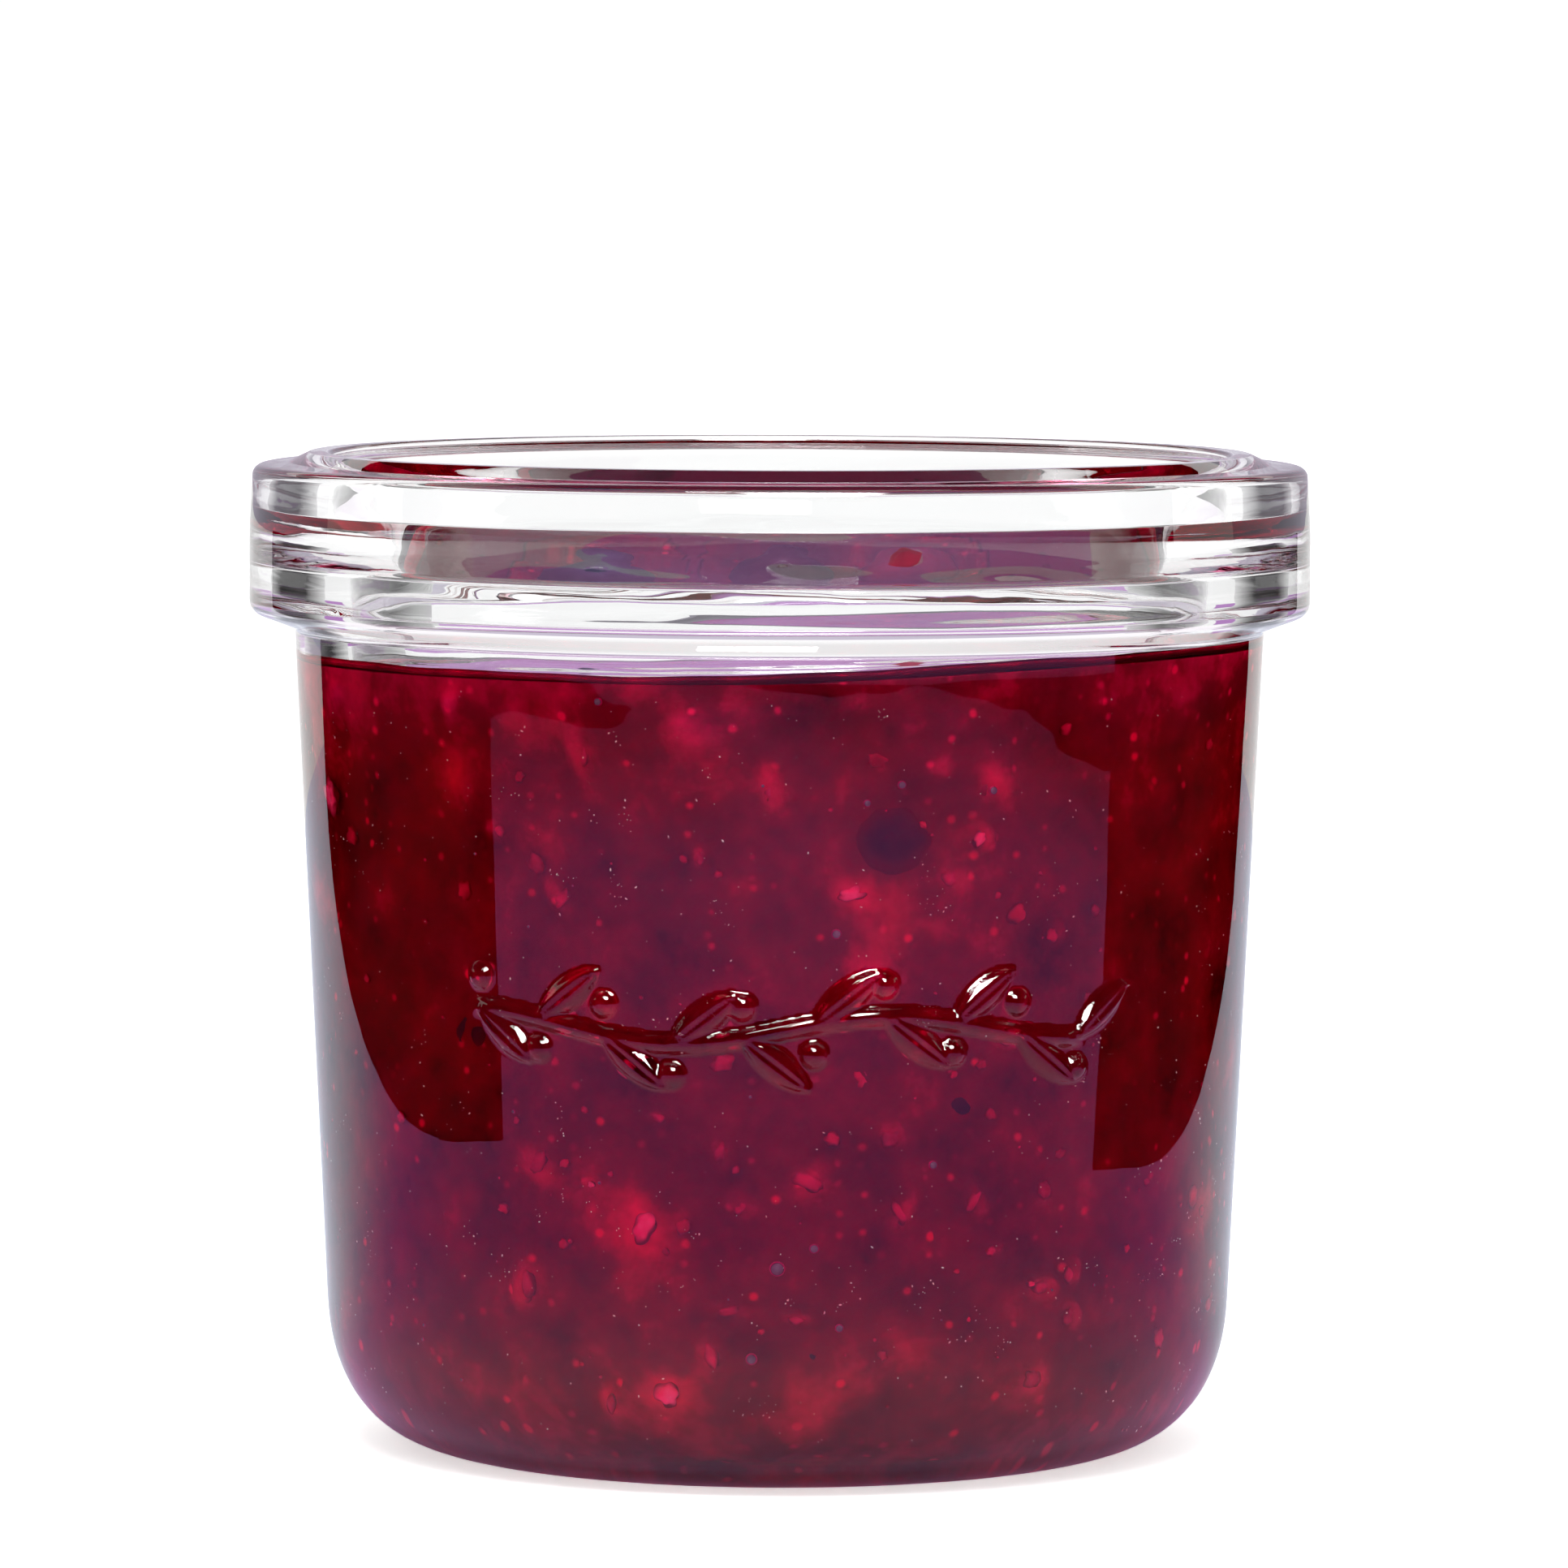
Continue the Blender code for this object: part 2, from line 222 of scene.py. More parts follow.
def rounded(corners, steps=6):
    """The outline through corners (radius, height, rounding), with arcs for the rounded ones."""
    outline = []
    for index, (x, z, rounding) in enumerate(corners):
        corner = Vector((x, z))
        if rounding == 0.0:
            outline.append(corner)
            continue
        before = Vector(corners[index - 1][:2]) - corner
        after = Vector(corners[index + 1][:2]) - corner
        half_angle = before.angle(after) / 2
        reach = rounding / math.tan(half_angle)
        middle = (before.normalized() + after.normalized()).normalized()
        centre = corner + middle * (rounding / math.sin(half_angle))
        first = corner + before.normalized() * reach - centre
        turn = first.angle_signed(corner + after.normalized() * reach - centre)
        for step in range(steps + 1):
            outline.append(centre + Matrix.Rotation(-turn * step / steps, 2) @ first)
    return outline


def heel(flat_radius, wall_radius, lean, height, power, steps):
    """A turned-under corner, from the flat at height 0 up to the wall, which leans out by lean."""
    across = wall_radius - lean * height - flat_radius
    points = []
    for step in range(steps + 1):
        angle = math.pi / 2 * (step / steps)
        up = height * (1 - math.cos(angle) ** (2 / power))
        out = flat_radius + across * math.sin(angle) ** (2 / power) + lean * up
        points.append(Vector((out, up)))
    return points


def bezier(a, b, c, steps):
    """Points of a quadratic curve after a, up to and with c."""
    return [
        a * (1 - t) ** 2 + b * (2 * t * (1 - t)) + c * t**2
        for t in (step / steps for step in range(1, steps + 1))
    ]


def inner_radius(height):
    """The radius of the jar's straight inner wall at a height."""
    return INNER_LOW_RADIUS + INNER_LEAN * (height - FLOOR_THICKNESS - INNER_HEEL_HEIGHT)


def outer_radius(height):
    share = (height - HEEL_HEIGHT) / (HEIGHT - BODY_TOP_DROP - HEEL_HEIGHT)
    return BODY_LOW_RADIUS + share * (BODY_TOP_RADIUS - BODY_LOW_RADIUS)


def inner_heel(steps):
    corner = heel(
        INNER_HEEL_RADIUS, INNER_LOW_RADIUS, INNER_LEAN, INNER_HEEL_HEIGHT, INNER_HEEL_POWER, steps
    )
    return [point + Vector((0.0, FLOOR_THICKNESS)) for point in corner]


def flat_run(radius, height, rings):
    """Points from the axis out to just short of a radius, on one level."""
    return [Vector((radius * ring / rings, height)) for ring in range(rings)]


def straight(a, b, spacing):
    """Points after a, up to and with b, no further apart than spacing."""
    count = max(1, math.ceil((b - a).length / spacing))
    return [a.lerp(b, step / count) for step in range(1, count + 1)]


def jar_outline():
    """The jar's section: its floor, inner wall, rim, collar, outer wall, heel and underside."""
    half_slope = (SLOPE_FOOT_DROP - SLOPE_TOP_DROP) / 2
    contact = Vector((inner_radius(CONTACT_HEIGHT), CONTACT_HEIGHT))
    throat = Vector((THROAT_RADIUS, HEIGHT - THROAT_DROP))
    slope_top = Vector((MOUTH_RADIUS, HEIGHT - SLOPE_TOP_DROP))
    bend = slope_top - Vector((half_slope * math.tan(SLOPE_TOP_LEAN), half_slope))
    foot = bend - Vector((half_slope * math.tan(SLOPE_FOOT_LEAN), half_slope))
    rim_width = RIM_OUTER_RADIUS - MOUTH_RADIUS

    points = flat_run(INNER_HEEL_RADIUS, FLOOR_THICKNESS, 8)
    points += inner_heel(steps=18)
    points += straight(points[-1], contact, WALL_GRID)
    points += straight(contact, throat, 0.6 * MM)
    points += straight(throat, foot, 0.3 * MM)
    points += bezier(foot, bend, slope_top, 9)[:-1]
    body_low = Vector((BODY_LOW_RADIUS, HEEL_HEIGHT))
    corners = (
        (bend.x, bend.y, 0.0),
        (slope_top.x, slope_top.y, 0.5 * MM),
        (MOUTH_RADIUS, HEIGHT, 0.16 * rim_width),
        (RIM_OUTER_RADIUS - RIM_BEVEL, HEIGHT, 0.4 * MM),
        (RIM_OUTER_RADIUS + 0.1 * MM, HEIGHT - RIM_STEP, 0.1 * MM),
        (SHOULDER_RADIUS, HEIGHT - SHOULDER_DROP, SHOULDER_ROUNDING),
        (COLLAR_RADIUS, HEIGHT - BULGE_DROP, BULGE_ROUNDING),
        (COLLAR_RADIUS, HEIGHT - COLLAR_FOOT_DROP, 1.2 * MM),
        (BODY_TOP_RADIUS, HEIGHT - BODY_TOP_DROP, 0.5 * MM),
        (body_low.x, body_low.y, 0.0),
    )
    for point in rounded(corners)[1:-1]:
        points += straight(points[-1], point, COLLAR_GRID)

    relief_top = SPRIG_HEIGHT + RELIEF_MARGIN
    relief_bottom = SPRIG_HEIGHT - RELIEF_MARGIN
    top = Vector((outer_radius(relief_top), relief_top))
    bottom = Vector((outer_radius(relief_bottom), relief_bottom))
    points += straight(points[-1], top, WALL_GRID)
    points += straight(top, bottom, RELIEF_GRID)
    points += straight(bottom, body_low, WALL_GRID)[:-1]
    lean = (BODY_TOP_RADIUS - BODY_LOW_RADIUS) / (HEIGHT - BODY_TOP_DROP - HEEL_HEIGHT)
    points += heel(HEEL_RADIUS, BODY_LOW_RADIUS, lean, HEEL_HEIGHT, HEEL_POWER, steps=22)[::-1]
    punt_radius = HEEL_RADIUS - FOOT_WIDTH
    for step in range(10):
        share = 1 - step / 9
        points.append(Vector((punt_radius * share, PUNT_DEPTH * (1 - share**2) ** 0.8)))
    return points


def side_rise(x):
    """How far the jam climbs towards the right."""
    share = x / THROAT_RADIUS
    climb = 0.5 * (share + np.sqrt(share**2 + RISE_BLEND))
    return SIDE_RISE * climb * (1.57 - 0.57 * climb)


def share_of_rise(level):
    """How much of the jam's climb a ring at a level takes on, so that the rings stay in order."""
    reach = 4 * MM if level > CONTACT_HEIGHT else 6 * MM
    return max(0.0, 1 - abs(level - CONTACT_HEIGHT) / reach)


def back_drop(turns):
    """How much lower the meniscus ends round the back of the jar."""
    share = np.clip((-np.cos(turns) - 0.2) / 0.6, 0.0, 1.0)
    return BACK_DROP * share**2 * (3 - 2 * share)


def climb_at_edge(turns):
    """How the jam's edge strays from the level, without the meniscus."""
    small = 0.06 * np.sin(5 * turns + 0.6) + 0.05 * np.sin(11 * turns + 2.0) + 0.03 * np.sin(23 * turns)
    return side_rise(inner_radius(CONTACT_HEIGHT) * np.sin(turns)) + small * MM


def contact_wave(turns):
    """How the line where the jam meets the glass strays from its usual height."""
    return climb_at_edge(turns) - back_drop(turns)


# ----------- turned meshes

def band(upper, lower, columns):
    """The faces between two rings, whose first points have the numbers upper and lower."""
    for column in range(columns):
        following = (column + 1) % columns
        yield upper + column, lower + column, lower + following, upper + following


def turned(name, outline, turns, shift, *materials):
    """A closed mesh of an outline turned about Z, from axis to axis.

    turns holds the angles of the columns, 0 at the front. shift takes the arrays turns, radius and
    height of a ring and gives the arrays of its radii and heights.
    """
    places, first_of_ring = [], []
    for point in outline:
        first_of_ring.append(len(places))
        ring_turns = np.zeros(1) if point.x < ON_AXIS else turns
        size = len(ring_turns)
        radius, height = shift(ring_turns, np.full(size, point.x), np.full(size, point.y))
        x, y = radius * np.sin(ring_turns), -radius * np.cos(ring_turns)
        places.extend(zip(x.tolist(), y.tolist(), height.tolist()))
    faces = []
    for ring in range(len(outline) - 1):
        upper, lower = first_of_ring[ring:ring + 2]
        quads = band(upper, lower, len(turns))
        if outline[ring].x < ON_AXIS:
            faces += [(upper, b, c) for a, b, c, d in quads]
        elif outline[ring + 1].x < ON_AXIS:
            faces += [(a, lower, d) for a, b, c, d in quads]
        else:
            faces += quads
    mesh = mesh_of(name, places, faces)
    mesh.shade_smooth()
    return add_object(name, mesh, *materials)


def round_axis(radius, turn, height):
    """The place at a radius and a height, turned from the front."""
    return Vector((radius * math.sin(turn), -radius * math.cos(turn), height))


def even_turns(count):
    return np.arange(count) * (2 * math.pi / count)


def jar_turns():
    """Close columns across the sprig at the front, wider ones round the rest."""
    radius = outer_radius(SPRIG_HEIGHT)
    half = (SPRIG_LENGTH / 2 + RELIEF_MARGIN) / radius
    fine = np.arange(-half, half, RELIEF_GRID / radius)
    coarse_count = int((2 * math.pi - 2 * half) / math.radians(3.0))
    coarse = np.linspace(half, 2 * math.pi - half, coarse_count, endpoint=False)
    return np.concatenate((fine, coarse))


# ----------- glass

def stem_height(along):
    return SPRIG_HEIGHT + SPRIG_WAVE * np.sin(2 * math.pi * SPRIG_WAVES * along / SPRIG_LENGTH)


def dome(q):
    """A rounded rise from 0 where q is 1 to 1 where q is 0, with a soft foot."""
    inside = np.clip(1 - q, 0.0, 1.0)
    return inside**0.8 * np.clip(inside * 5, 0.0, 1.0) ** 0.5


def relief(along, height):
    """How far the sprig stands out of the glass at places along the wall."""
    inside = np.clip((SPRIG_LENGTH * 0.52 - np.abs(along)) / (2 * MM), 0.0, 1.0)
    across = (height - stem_height(along)) / (1.25 * STEM_RADIUS)
    raised = 0.8 * dome(across**2) * inside
    for number in range(LEAF_COUNT):
        foot = SPRIG_LENGTH * (number / (LEAF_COUNT - 1) - 0.5)
        side = 1 if number % 2 else -1
        u, v = along - foot, height - stem_height(foot)
        lengthwise = u * math.cos(LEAF_TILT) + side * v * math.sin(LEAF_TILT)
        crosswise = -side * u * math.sin(LEAF_TILT) + v * math.cos(LEAF_TILT)
        t = np.clip(2 * lengthwise / LEAF_LENGTH - 1, -1.0, 1.0)
        half_width = 0.5 * LEAF_WIDTH * np.maximum(1 - t**2, 1e-4) ** 0.75
        leaf = dome((crosswise / half_width) ** 2)
        vein = np.exp(-((crosswise / (0.16 * MM)) ** 2)) * (np.abs(t) < 0.9)
        raised = np.maximum(raised, leaf * (1 - 0.35 * vein) * (np.abs(t) < 1))
        fruit_height = stem_height(foot) - side * 2.1 * FRUIT_RADIUS
        q = (u**2 + (height - fruit_height) ** 2) / FRUIT_RADIUS**2
        raised = np.maximum(raised, 1.05 * dome(q))
    return RELIEF * raised


def glass_shift(turns, radius, height):
    """The sprig, and the slight waviness of pressed glass."""
    level = height[0]
    outside = radius[0] > inner_radius(level) + 1.5 * MM
    if not outside:
        climb = share_of_rise(level) * contact_wave(turns)
        radius, height = radius + INNER_LEAN * climb, height + climb
    if level > HEIGHT - COLLAR_FOOT_DROP:
        calm = min(1.0, (HEIGHT - level) / (2 * MM))
        wave = np.sin(7 * turns + 2600 * level) * np.sin(4 * turns + 1.0 + 700 * level)
        return radius + COLLAR_WAVE * calm * wave, height
    if not 2 * MM < level < HEIGHT - BODY_TOP_DROP - 1 * MM:
        return radius, height
    if outside:
        wave = 0.022 * MM * np.sin(5 * turns + 60 * level) * np.sin(130 * level + 2.0 * np.cos(turns))
        wave += 0.012 * MM * np.sin(13 * turns + 1.0 + 210 * level)
        if abs(level - SPRIG_HEIGHT) < RELIEF_MARGIN:
            facing = (turns + math.pi) % (2 * math.pi) - math.pi
            along = facing * outer_radius(level)
            wave = wave + relief(along, level) * (np.abs(along) < SPRIG_LENGTH / 2 + RELIEF_MARGIN)
    else:
        calm = min(1.0, max(0.0, (level - FLOOR_THICKNESS) / (6 * MM)))
        calm *= min(1.0, max(0.0, (CONTACT_HEIGHT - level) / (6 * MM)))
        wave = 0.06 * MM * calm * np.sin(3 * turns + 1.2 + 35 * level) * np.cos(90 * level)
    return radius + wave, height


def see_through(name, colour, ior):
    paint = Paint(name)
    paint.put({"Base Color": colour, "Roughness": 0.0, "IOR": ior, "Transmission Weight": 1.0})
    return paint


def clear_glass(name, ior):
    """Glass with faint ripples."""
    paint = see_through(name, GLASS_COLOUR, ior)
    ripple = paint.add("TexNoise", {"Vector": paint.place(), "Scale": 90.0, "Detail": 2.0})
    paint.bump(ripple.outputs["Fac"], 0.05, 0.0006)
    return paint.material


def make_jar():
    dry = clear_glass("clear_glass", GLASS_IOR)
    on_jam = clear_glass("clear_glass_on_jam", GLASS_IOR / JAM_IOR)
    jar = turned("jar_glass", jar_outline(), jar_turns(), glass_shift, dry, on_jam)
    for face in jar.data.polygons:
        middle = face.center
        wall = inner_radius(middle.z) + 0.5 * MM
        contact = CONTACT_HEIGHT + contact_wave(math.atan2(middle.x, -middle.y))
        wet = middle.z < contact and math.hypot(middle.x, middle.y) < wall and face.normal.z > -0.5
        if wet and middle.z > FLOOR_THICKNESS - 1e-5:
            face.material_index = 1
    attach(jar, "root")
    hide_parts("jar")


# ----------- jam

# Lean from upright and turn of each berry at the surface, and whether it has a crown
BERRY_LOOKS = {
    "dark_berry_left": (85, 170, True),
    "dark_berry_middle": (110, 20, True),
    "red_berry_right": (100, 100, False),
    "dark_berry_back": (95, 320, True),
    "red_berry_back": (120, 250, False),
}
BERRY_FLATNESS = 0.88
CROWN_POINTS = 5
BERRY_PEEK = 0.20 * MM
BERRY_BLEND = 0.08 * MM


def around_berries(x, y):
    """Of each berry at the surface: middle, half size, and the squared share of it that x and y are out."""
    for node in BERRY_LOOKS:
        low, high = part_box(node)
        middle, half = (low + high) / 2, (high - low) / 2
        yield middle, half, ((x - middle.x) / half.x) ** 2 + ((y - middle.y) / half.y) ** 2


def surface_lift(x, y):
    """How far the jam stands above its level: gentle swells, and a rise to just under each berry's top."""
    swell = np.sin(310 * x + 1.3) * np.cos(270 * y - 0.4) + 0.6 * np.sin(520 * y + 190 * x)
    calm = np.clip(1 - (np.hypot(x, y) / (31 * MM)) ** 4, 0.0, 1.0)
    lift = 0.06 * MM * swell * calm
    for middle, half, share in around_berries(x, y):
        berry_top = middle.z + half.z * (1 - 1.3 * np.clip(share, 0.0, 2.0)) - BERRY_PEEK - JAM_LEVEL
        berry_top -= side_rise(middle.x)
        lift = BERRY_BLEND * np.logaddexp(lift / BERRY_BLEND, berry_top / BERRY_BLEND)
    return lift


def near_berries(x, y):
    """1 over the middle of a berry at the surface, falling to 0 a little outside it."""
    near = np.zeros_like(x)
    for _, _, share in around_berries(x, y):
        near = np.maximum(near, np.exp(-((share / 1.5) ** 3)))
    return near


def gel_outline():
    """From the middle of the jam's top out to the meniscus, then down just inside the glass wall."""
    flat_radius = inner_radius(CONTACT_HEIGHT) + WALL_BITE - MENISCUS_REACH
    points = flat_run(flat_radius, JAM_LEVEL, 84)
    points.append(Vector((flat_radius, JAM_LEVEL)))
    for step in range(1, 11):
        share = step / 10
        rise = MENISCUS_HEIGHT * share**MENISCUS_POWER
        points.append(Vector((flat_radius + MENISCUS_REACH * share, JAM_LEVEL + rise)))
    wall_foot = Vector((INNER_LOW_RADIUS + WALL_BITE, FLOOR_THICKNESS + INNER_HEEL_HEIGHT))
    points += straight(points[-1], wall_foot, 1.5 * MM)[:-1]
    for point in inner_heel(steps=24)[::-1]:
        outwards = (point.x - INNER_HEEL_RADIUS) / (INNER_LOW_RADIUS - INNER_HEEL_RADIUS)
        points.append(Vector((point.x + WALL_BITE * outwards, point.y - WALL_BITE * (1 - outwards))))
    points += flat_run(INNER_HEEL_RADIUS, FLOOR_THICKNESS - WALL_BITE, 12)[::-1]
    return points


def gel_shift(turns, radius, height):
    level = height[0]
    x, y = radius * np.sin(turns), -radius * np.cos(turns)
    if level >= JAM_LEVEL - 1e-6:
        out = radius / inner_radius(CONTACT_HEIGHT)
        up_meniscus = (level - JAM_LEVEL) / MENISCUS_HEIGHT
        climb = side_rise(x) * (1 - out**8) + climb_at_edge(turns) * out**8
        climb -= back_drop(turns) * up_meniscus
        return radius + INNER_LEAN * climb * out**8, height + climb + surface_lift(x, y)
    climb = share_of_rise(level) * contact_wave(turns)
    return radius + INNER_LEAN * climb, height + climb


def jam_gel_material(name, ior):
    paint = see_through(name, GEL_COLOUR, ior)
    soak = paint.add("VolumeAbsorption", {"Color": SOAK_COLOUR, "Density": SOAK_DENSITY})
    paint.put({"Volume": soak.outputs["Volume"]}, paint.tree.nodes["Material Output"])
    return paint.material


def make_gel():
    surface = jam_gel_material("jam_surface", JAM_IOR)
    on_glass = jam_gel_material("jam_against_glass", 1.0)
    gel = turned("jam_gel", gel_outline(), even_turns(GEL_COLUMNS), gel_shift, surface, on_glass)
    for face in gel.data.polygons:
        if face.normal.z < 0.3:
            face.material_index = 1
    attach(gel, "root")
    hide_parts("jam")


FRUIT_ROUGHNESS = 0.6
SKIN_GLOSS = 0.05
PULP_INSET = 2.4 * MM
PULP_TOP_DROP = 0.8 * MM
PULP_LIP = 0.45 * MM
PULP_LIP_RISE = 0.15 * MM
PULP_FLOOR_GAP = 0.5 * MM
BERRY_DIP = 3.0 * MM


def inside_radius(height):
    """The radius of the jar's inside at a height, down through the turned-under corner."""
    up = height - FLOOR_THICKNESS
    if up >= INNER_HEEL_HEIGHT:
        return inner_radius(height)
    cosine = (1 - max(up, 0.0) / INNER_HEEL_HEIGHT) ** (INNER_HEEL_POWER / 2)
    across = INNER_LOW_RADIUS - INNER_HEEL_RADIUS
    return INNER_HEEL_RADIUS + across * math.sqrt(1 - cosine**2) ** (2 / INNER_HEEL_POWER)


def behind_glass(across, height, depth):
    """The place, at a depth behind the inner wall, that the front shows at across and height."""
    radius = inside_radius(height) - depth
    turn = math.asin(max(-0.98, min(0.98, across / (JAM_IOR * radius))))
    return round_axis(radius, turn, height)


# Lumps of red flesh, as the front shows them: across, height, half width, half height, tilt
RED_LUMPS = (
    (7.2, 62.2, 1.4, 0.7, 30), (-32.6, 62, 0.8, 1.5, -15), (-20.5, 58.5, 1, 1.8, 10),
    (-0.8, 56, 0.9, 1.5, 10), (16, 57.6, 1.1, 0.9, 0), (21.8, 56.3, 1.2, 1.7, 25),
    (13, 60.5, 0.8, 0.5, 0), (-22.5, 47, 1, 1.4, 30), (3.3, 25.1, 2.5, 1.1, 28),
    (-3.9, 23.1, 1.3, 0.9, -15), (-6, 27.4, 0.9, 1.2, 10), (11.8, 28.4, 1.5, 1, -30),
    (12.8, 22.5, 0.8, 1.5, -28), (20.5, 23.3, 0.8, 1.5, 32), (-26.1, 16.3, 1.1, 1.9, -12),
    (-5.1, 14.9, 1.6, 0.6, -15), (27.6, 16, 1.3, 0.8, -10), (30.4, 16.8, 0.8, 1, 0),
    (30.4, 13.5, 0.8, 1.1, 20), (-6.9, 11.4, 1, 1.7, -20), (22.4, 19.2, 0.9, 0.6, 0),
    (-17.2, 7.6, 0.7, 1, 0), (26.6, 9, 1.4, 1, -30), (-25, 26, 1.2, 1.6, 30),
    (2, 14.2, 1.2, 0.5, 5), (24, 36, 0.9, 0.8, 0), (-12.5, 30, 0.9, 0.6, 20),
    (9.5, 41.5, 2, 1.6, 15), (-8.2, 50.5, 0.7, 0.9, 0), (18, 48.8, 1.4, 1, -20),
    (-29, 52, 0.9, 0.7, 0), (28.5, 44, 1, 0.9, 0),
)
# Paler lumps, in the same way
PALE_LUMPS = (
    (-8.6, 60.3, 2.3, 1.5, -8), (7.6, 47.7, 2, 0.9, -12), (-14, 21.4, 1.6, 2, 20),
    (-11.4, 8.4, 1.8, 1.3, 15), (21, 51.8, 0.9, 1.1, 30), (26.6, 16.4, 0.6, 0.4, 0),
    (-19.5, 24.5, 0.6, 0.4, 0),
)
# Soft lighter spots in the thick of the jam: lighter flesh, and towards the upper corners painted light
# where light shines through; as the front shows them: across, height, reach, strength
FLESH_AND_PAINTED_LIGHT_SPOTS = (
    (-18.6, 55.8, 3, 0.4), (-32, 57, 3, 0.9), (-27, 60, 2.6, 0.6), (-0.8, 56, 1.8, 0.3),
    (16, 57.6, 2, 0.4), (21.8, 56.3, 2.4, 0.4), (20.3, 49.5, 3.6, 0.5), (10.6, 45.7, 4.4, 1),
    (26.5, 57, 3.6, 0.5), (-15.2, 21.2, 3.8, 1.6), (-11.4, 8.1, 3.4, 1.1), (3.3, 8, 2.6, 1),
    (7.5, 10.5, 2.6, 0.9), (14.5, 12.6, 2.4, 0.6), (-22.8, 7.2, 2.6, 0.8), (26.6, 8.8, 2.4, 0.9),
    (15, 37, 3.4, 0.5), (-20, 38, 3.2, 0.5), (-26, 27, 3, 0.6), (24, 37, 3, 0.5),
    (5, 33, 3, 0.1), (-8, 39, 2.6, 0.4), (-26.1, 16.3, 2.6, 0.8), (-2, 15.5, 3, 0.6),
)
ROUND_SOFT_SPOTS = 60
# Painted light near the top, where light comes in, stronger at the sides, and near the jar's floor, with
# how far each reaches; painted shade on the pulp's top; and how much the lumps of flesh lighten the pulp
TOP_PAINTED_LIGHT = 1.0
TOP_SHADE = -2.2
BOTTOM_PAINTED_LIGHT = 1.3
BOTTOM_PAINTED_LIGHT_REACH = 3.0 * MM
LUMP_LIGHTENING = 1.25
TOP_PAINTED_LIGHT_REACH = 6.0 * MM
LUMP_BULGE = 1.0 * MM


def soft_spot_places():
    """The soft lighter spots at the front, partly flesh and partly painted light, and more of them
    scattered round the rest of the jar.
    """
    places = [
        (behind_glass(across * MM, height * MM, PULP_INSET), reach * MM, strength)
        for across, height, reach, strength in FLESH_AND_PAINTED_LIGHT_SPOTS
    ]
    chance = random.Random(11)
    for _ in range(ROUND_SOFT_SPOTS):
        height = chance.uniform(8, 60) * MM
        turn = math.radians(chance.uniform(75, 285))
        place = round_axis(inside_radius(height) - PULP_INSET, turn, height)
        places.append((place, chance.uniform(1.6, 4.4) * MM, chance.uniform(0.4, 1.2)))
    return places


def lump_share(points):
    """1 in the middle of a lump of flesh at the front, with a soft and uneven rim, and 0 away from all."""
    wobble = np.array([1 + 0.5 * noise.noise(Vector(point) * 420) for point in points])
    share = np.zeros(len(points))
    for across, height, half_width, half_height, tilt in RED_LUMPS + PALE_LUMPS:
        place = behind_glass(across * MM, height * MM, PULP_INSET)
        facing, lean = math.atan2(place.x, -place.y), math.radians(tilt)
        away = points - np.array(place)
        sideways = away @ np.array((math.cos(facing), math.sin(facing), 0.0))
        inwards = away @ np.array((math.sin(facing), -math.cos(facing), 0.0))
        u = sideways * math.cos(lean) + away[:, 2] * math.sin(lean)
        v = away[:, 2] * math.cos(lean) - sideways * math.sin(lean)
        q = (u / (0.85 * half_width * MM)) ** 2 + (v / (half_height * MM)) ** 2 + (inwards / (4 * MM)) ** 2
        share = np.maximum(share, np.exp(-((0.75 * q * wobble) ** 1.6)))
    return share


def painted_light_and_flesh_at(points):
    """How much lighter each point of an array is painted: painted light near the top, where light comes in,
    and near the jar's floor, and the soft spots and lumps of flesh.
    """
    sideways = np.abs(points[:, 0]) / THROAT_RADIUS
    below = JAM_LEVEL + side_rise(points[:, 0]) - points[:, 2]
    flesh_and_painted_light = TOP_PAINTED_LIGHT * (0.5 + 0.7 * sideways) * np.exp(-below / TOP_PAINTED_LIGHT_REACH)
    flesh_and_painted_light += BOTTOM_PAINTED_LIGHT * np.exp(-(points[:, 2] - FLOOR_THICKNESS) / BOTTOM_PAINTED_LIGHT_REACH)
    for place, reach, strength in soft_spot_places():
        away = np.linalg.norm(points - np.array(place), axis=1)
        flesh_and_painted_light += strength * np.exp(-((away / reach) ** 2))
    return flesh_and_painted_light + LUMP_LIGHTENING * lump_share(points)


def pulp_shift(turns, radius, height):
    x, y = radius * np.sin(turns), -radius * np.cos(turns)
    points = np.stack((x, y, height), axis=1)
    below_top = JAM_LEVEL - PULP_TOP_DROP - height[0]
    rise = np.zeros(len(turns))
    for index, point in enumerate(points):
        place = Vector(point)
        rise[index] = 1.0 * MM * noise.noise(place * 130) + 0.45 * MM * noise.noise(place * 420)
    rise += 0.6 * MM * np.clip(painted_light_and_flesh_at(points), 0.0, 1.2)
    height = height + (side_rise(x) - back_drop(turns)) * share_of_rise(min(height[0], CONTACT_HEIGHT))
    if below_top < 0.05 * MM:
        dip = BERRY_DIP * near_berries(x, y)
        inside = np.clip((INNER_LOW_RADIUS - radius) / (2 * MM), 0.0, 1.0)
        return radius, height + surface_lift(x, y) * inside - dip
    rise = np.maximum(rise, LUMP_BULGE * lump_share(points) + 0.2 * rise)
    calm = min(1.0, below_top / (1.5 * MM))
    return np.maximum(radius + rise * calm * (radius > 1 * MM), 0.0), height + 0.3 * calm * rise


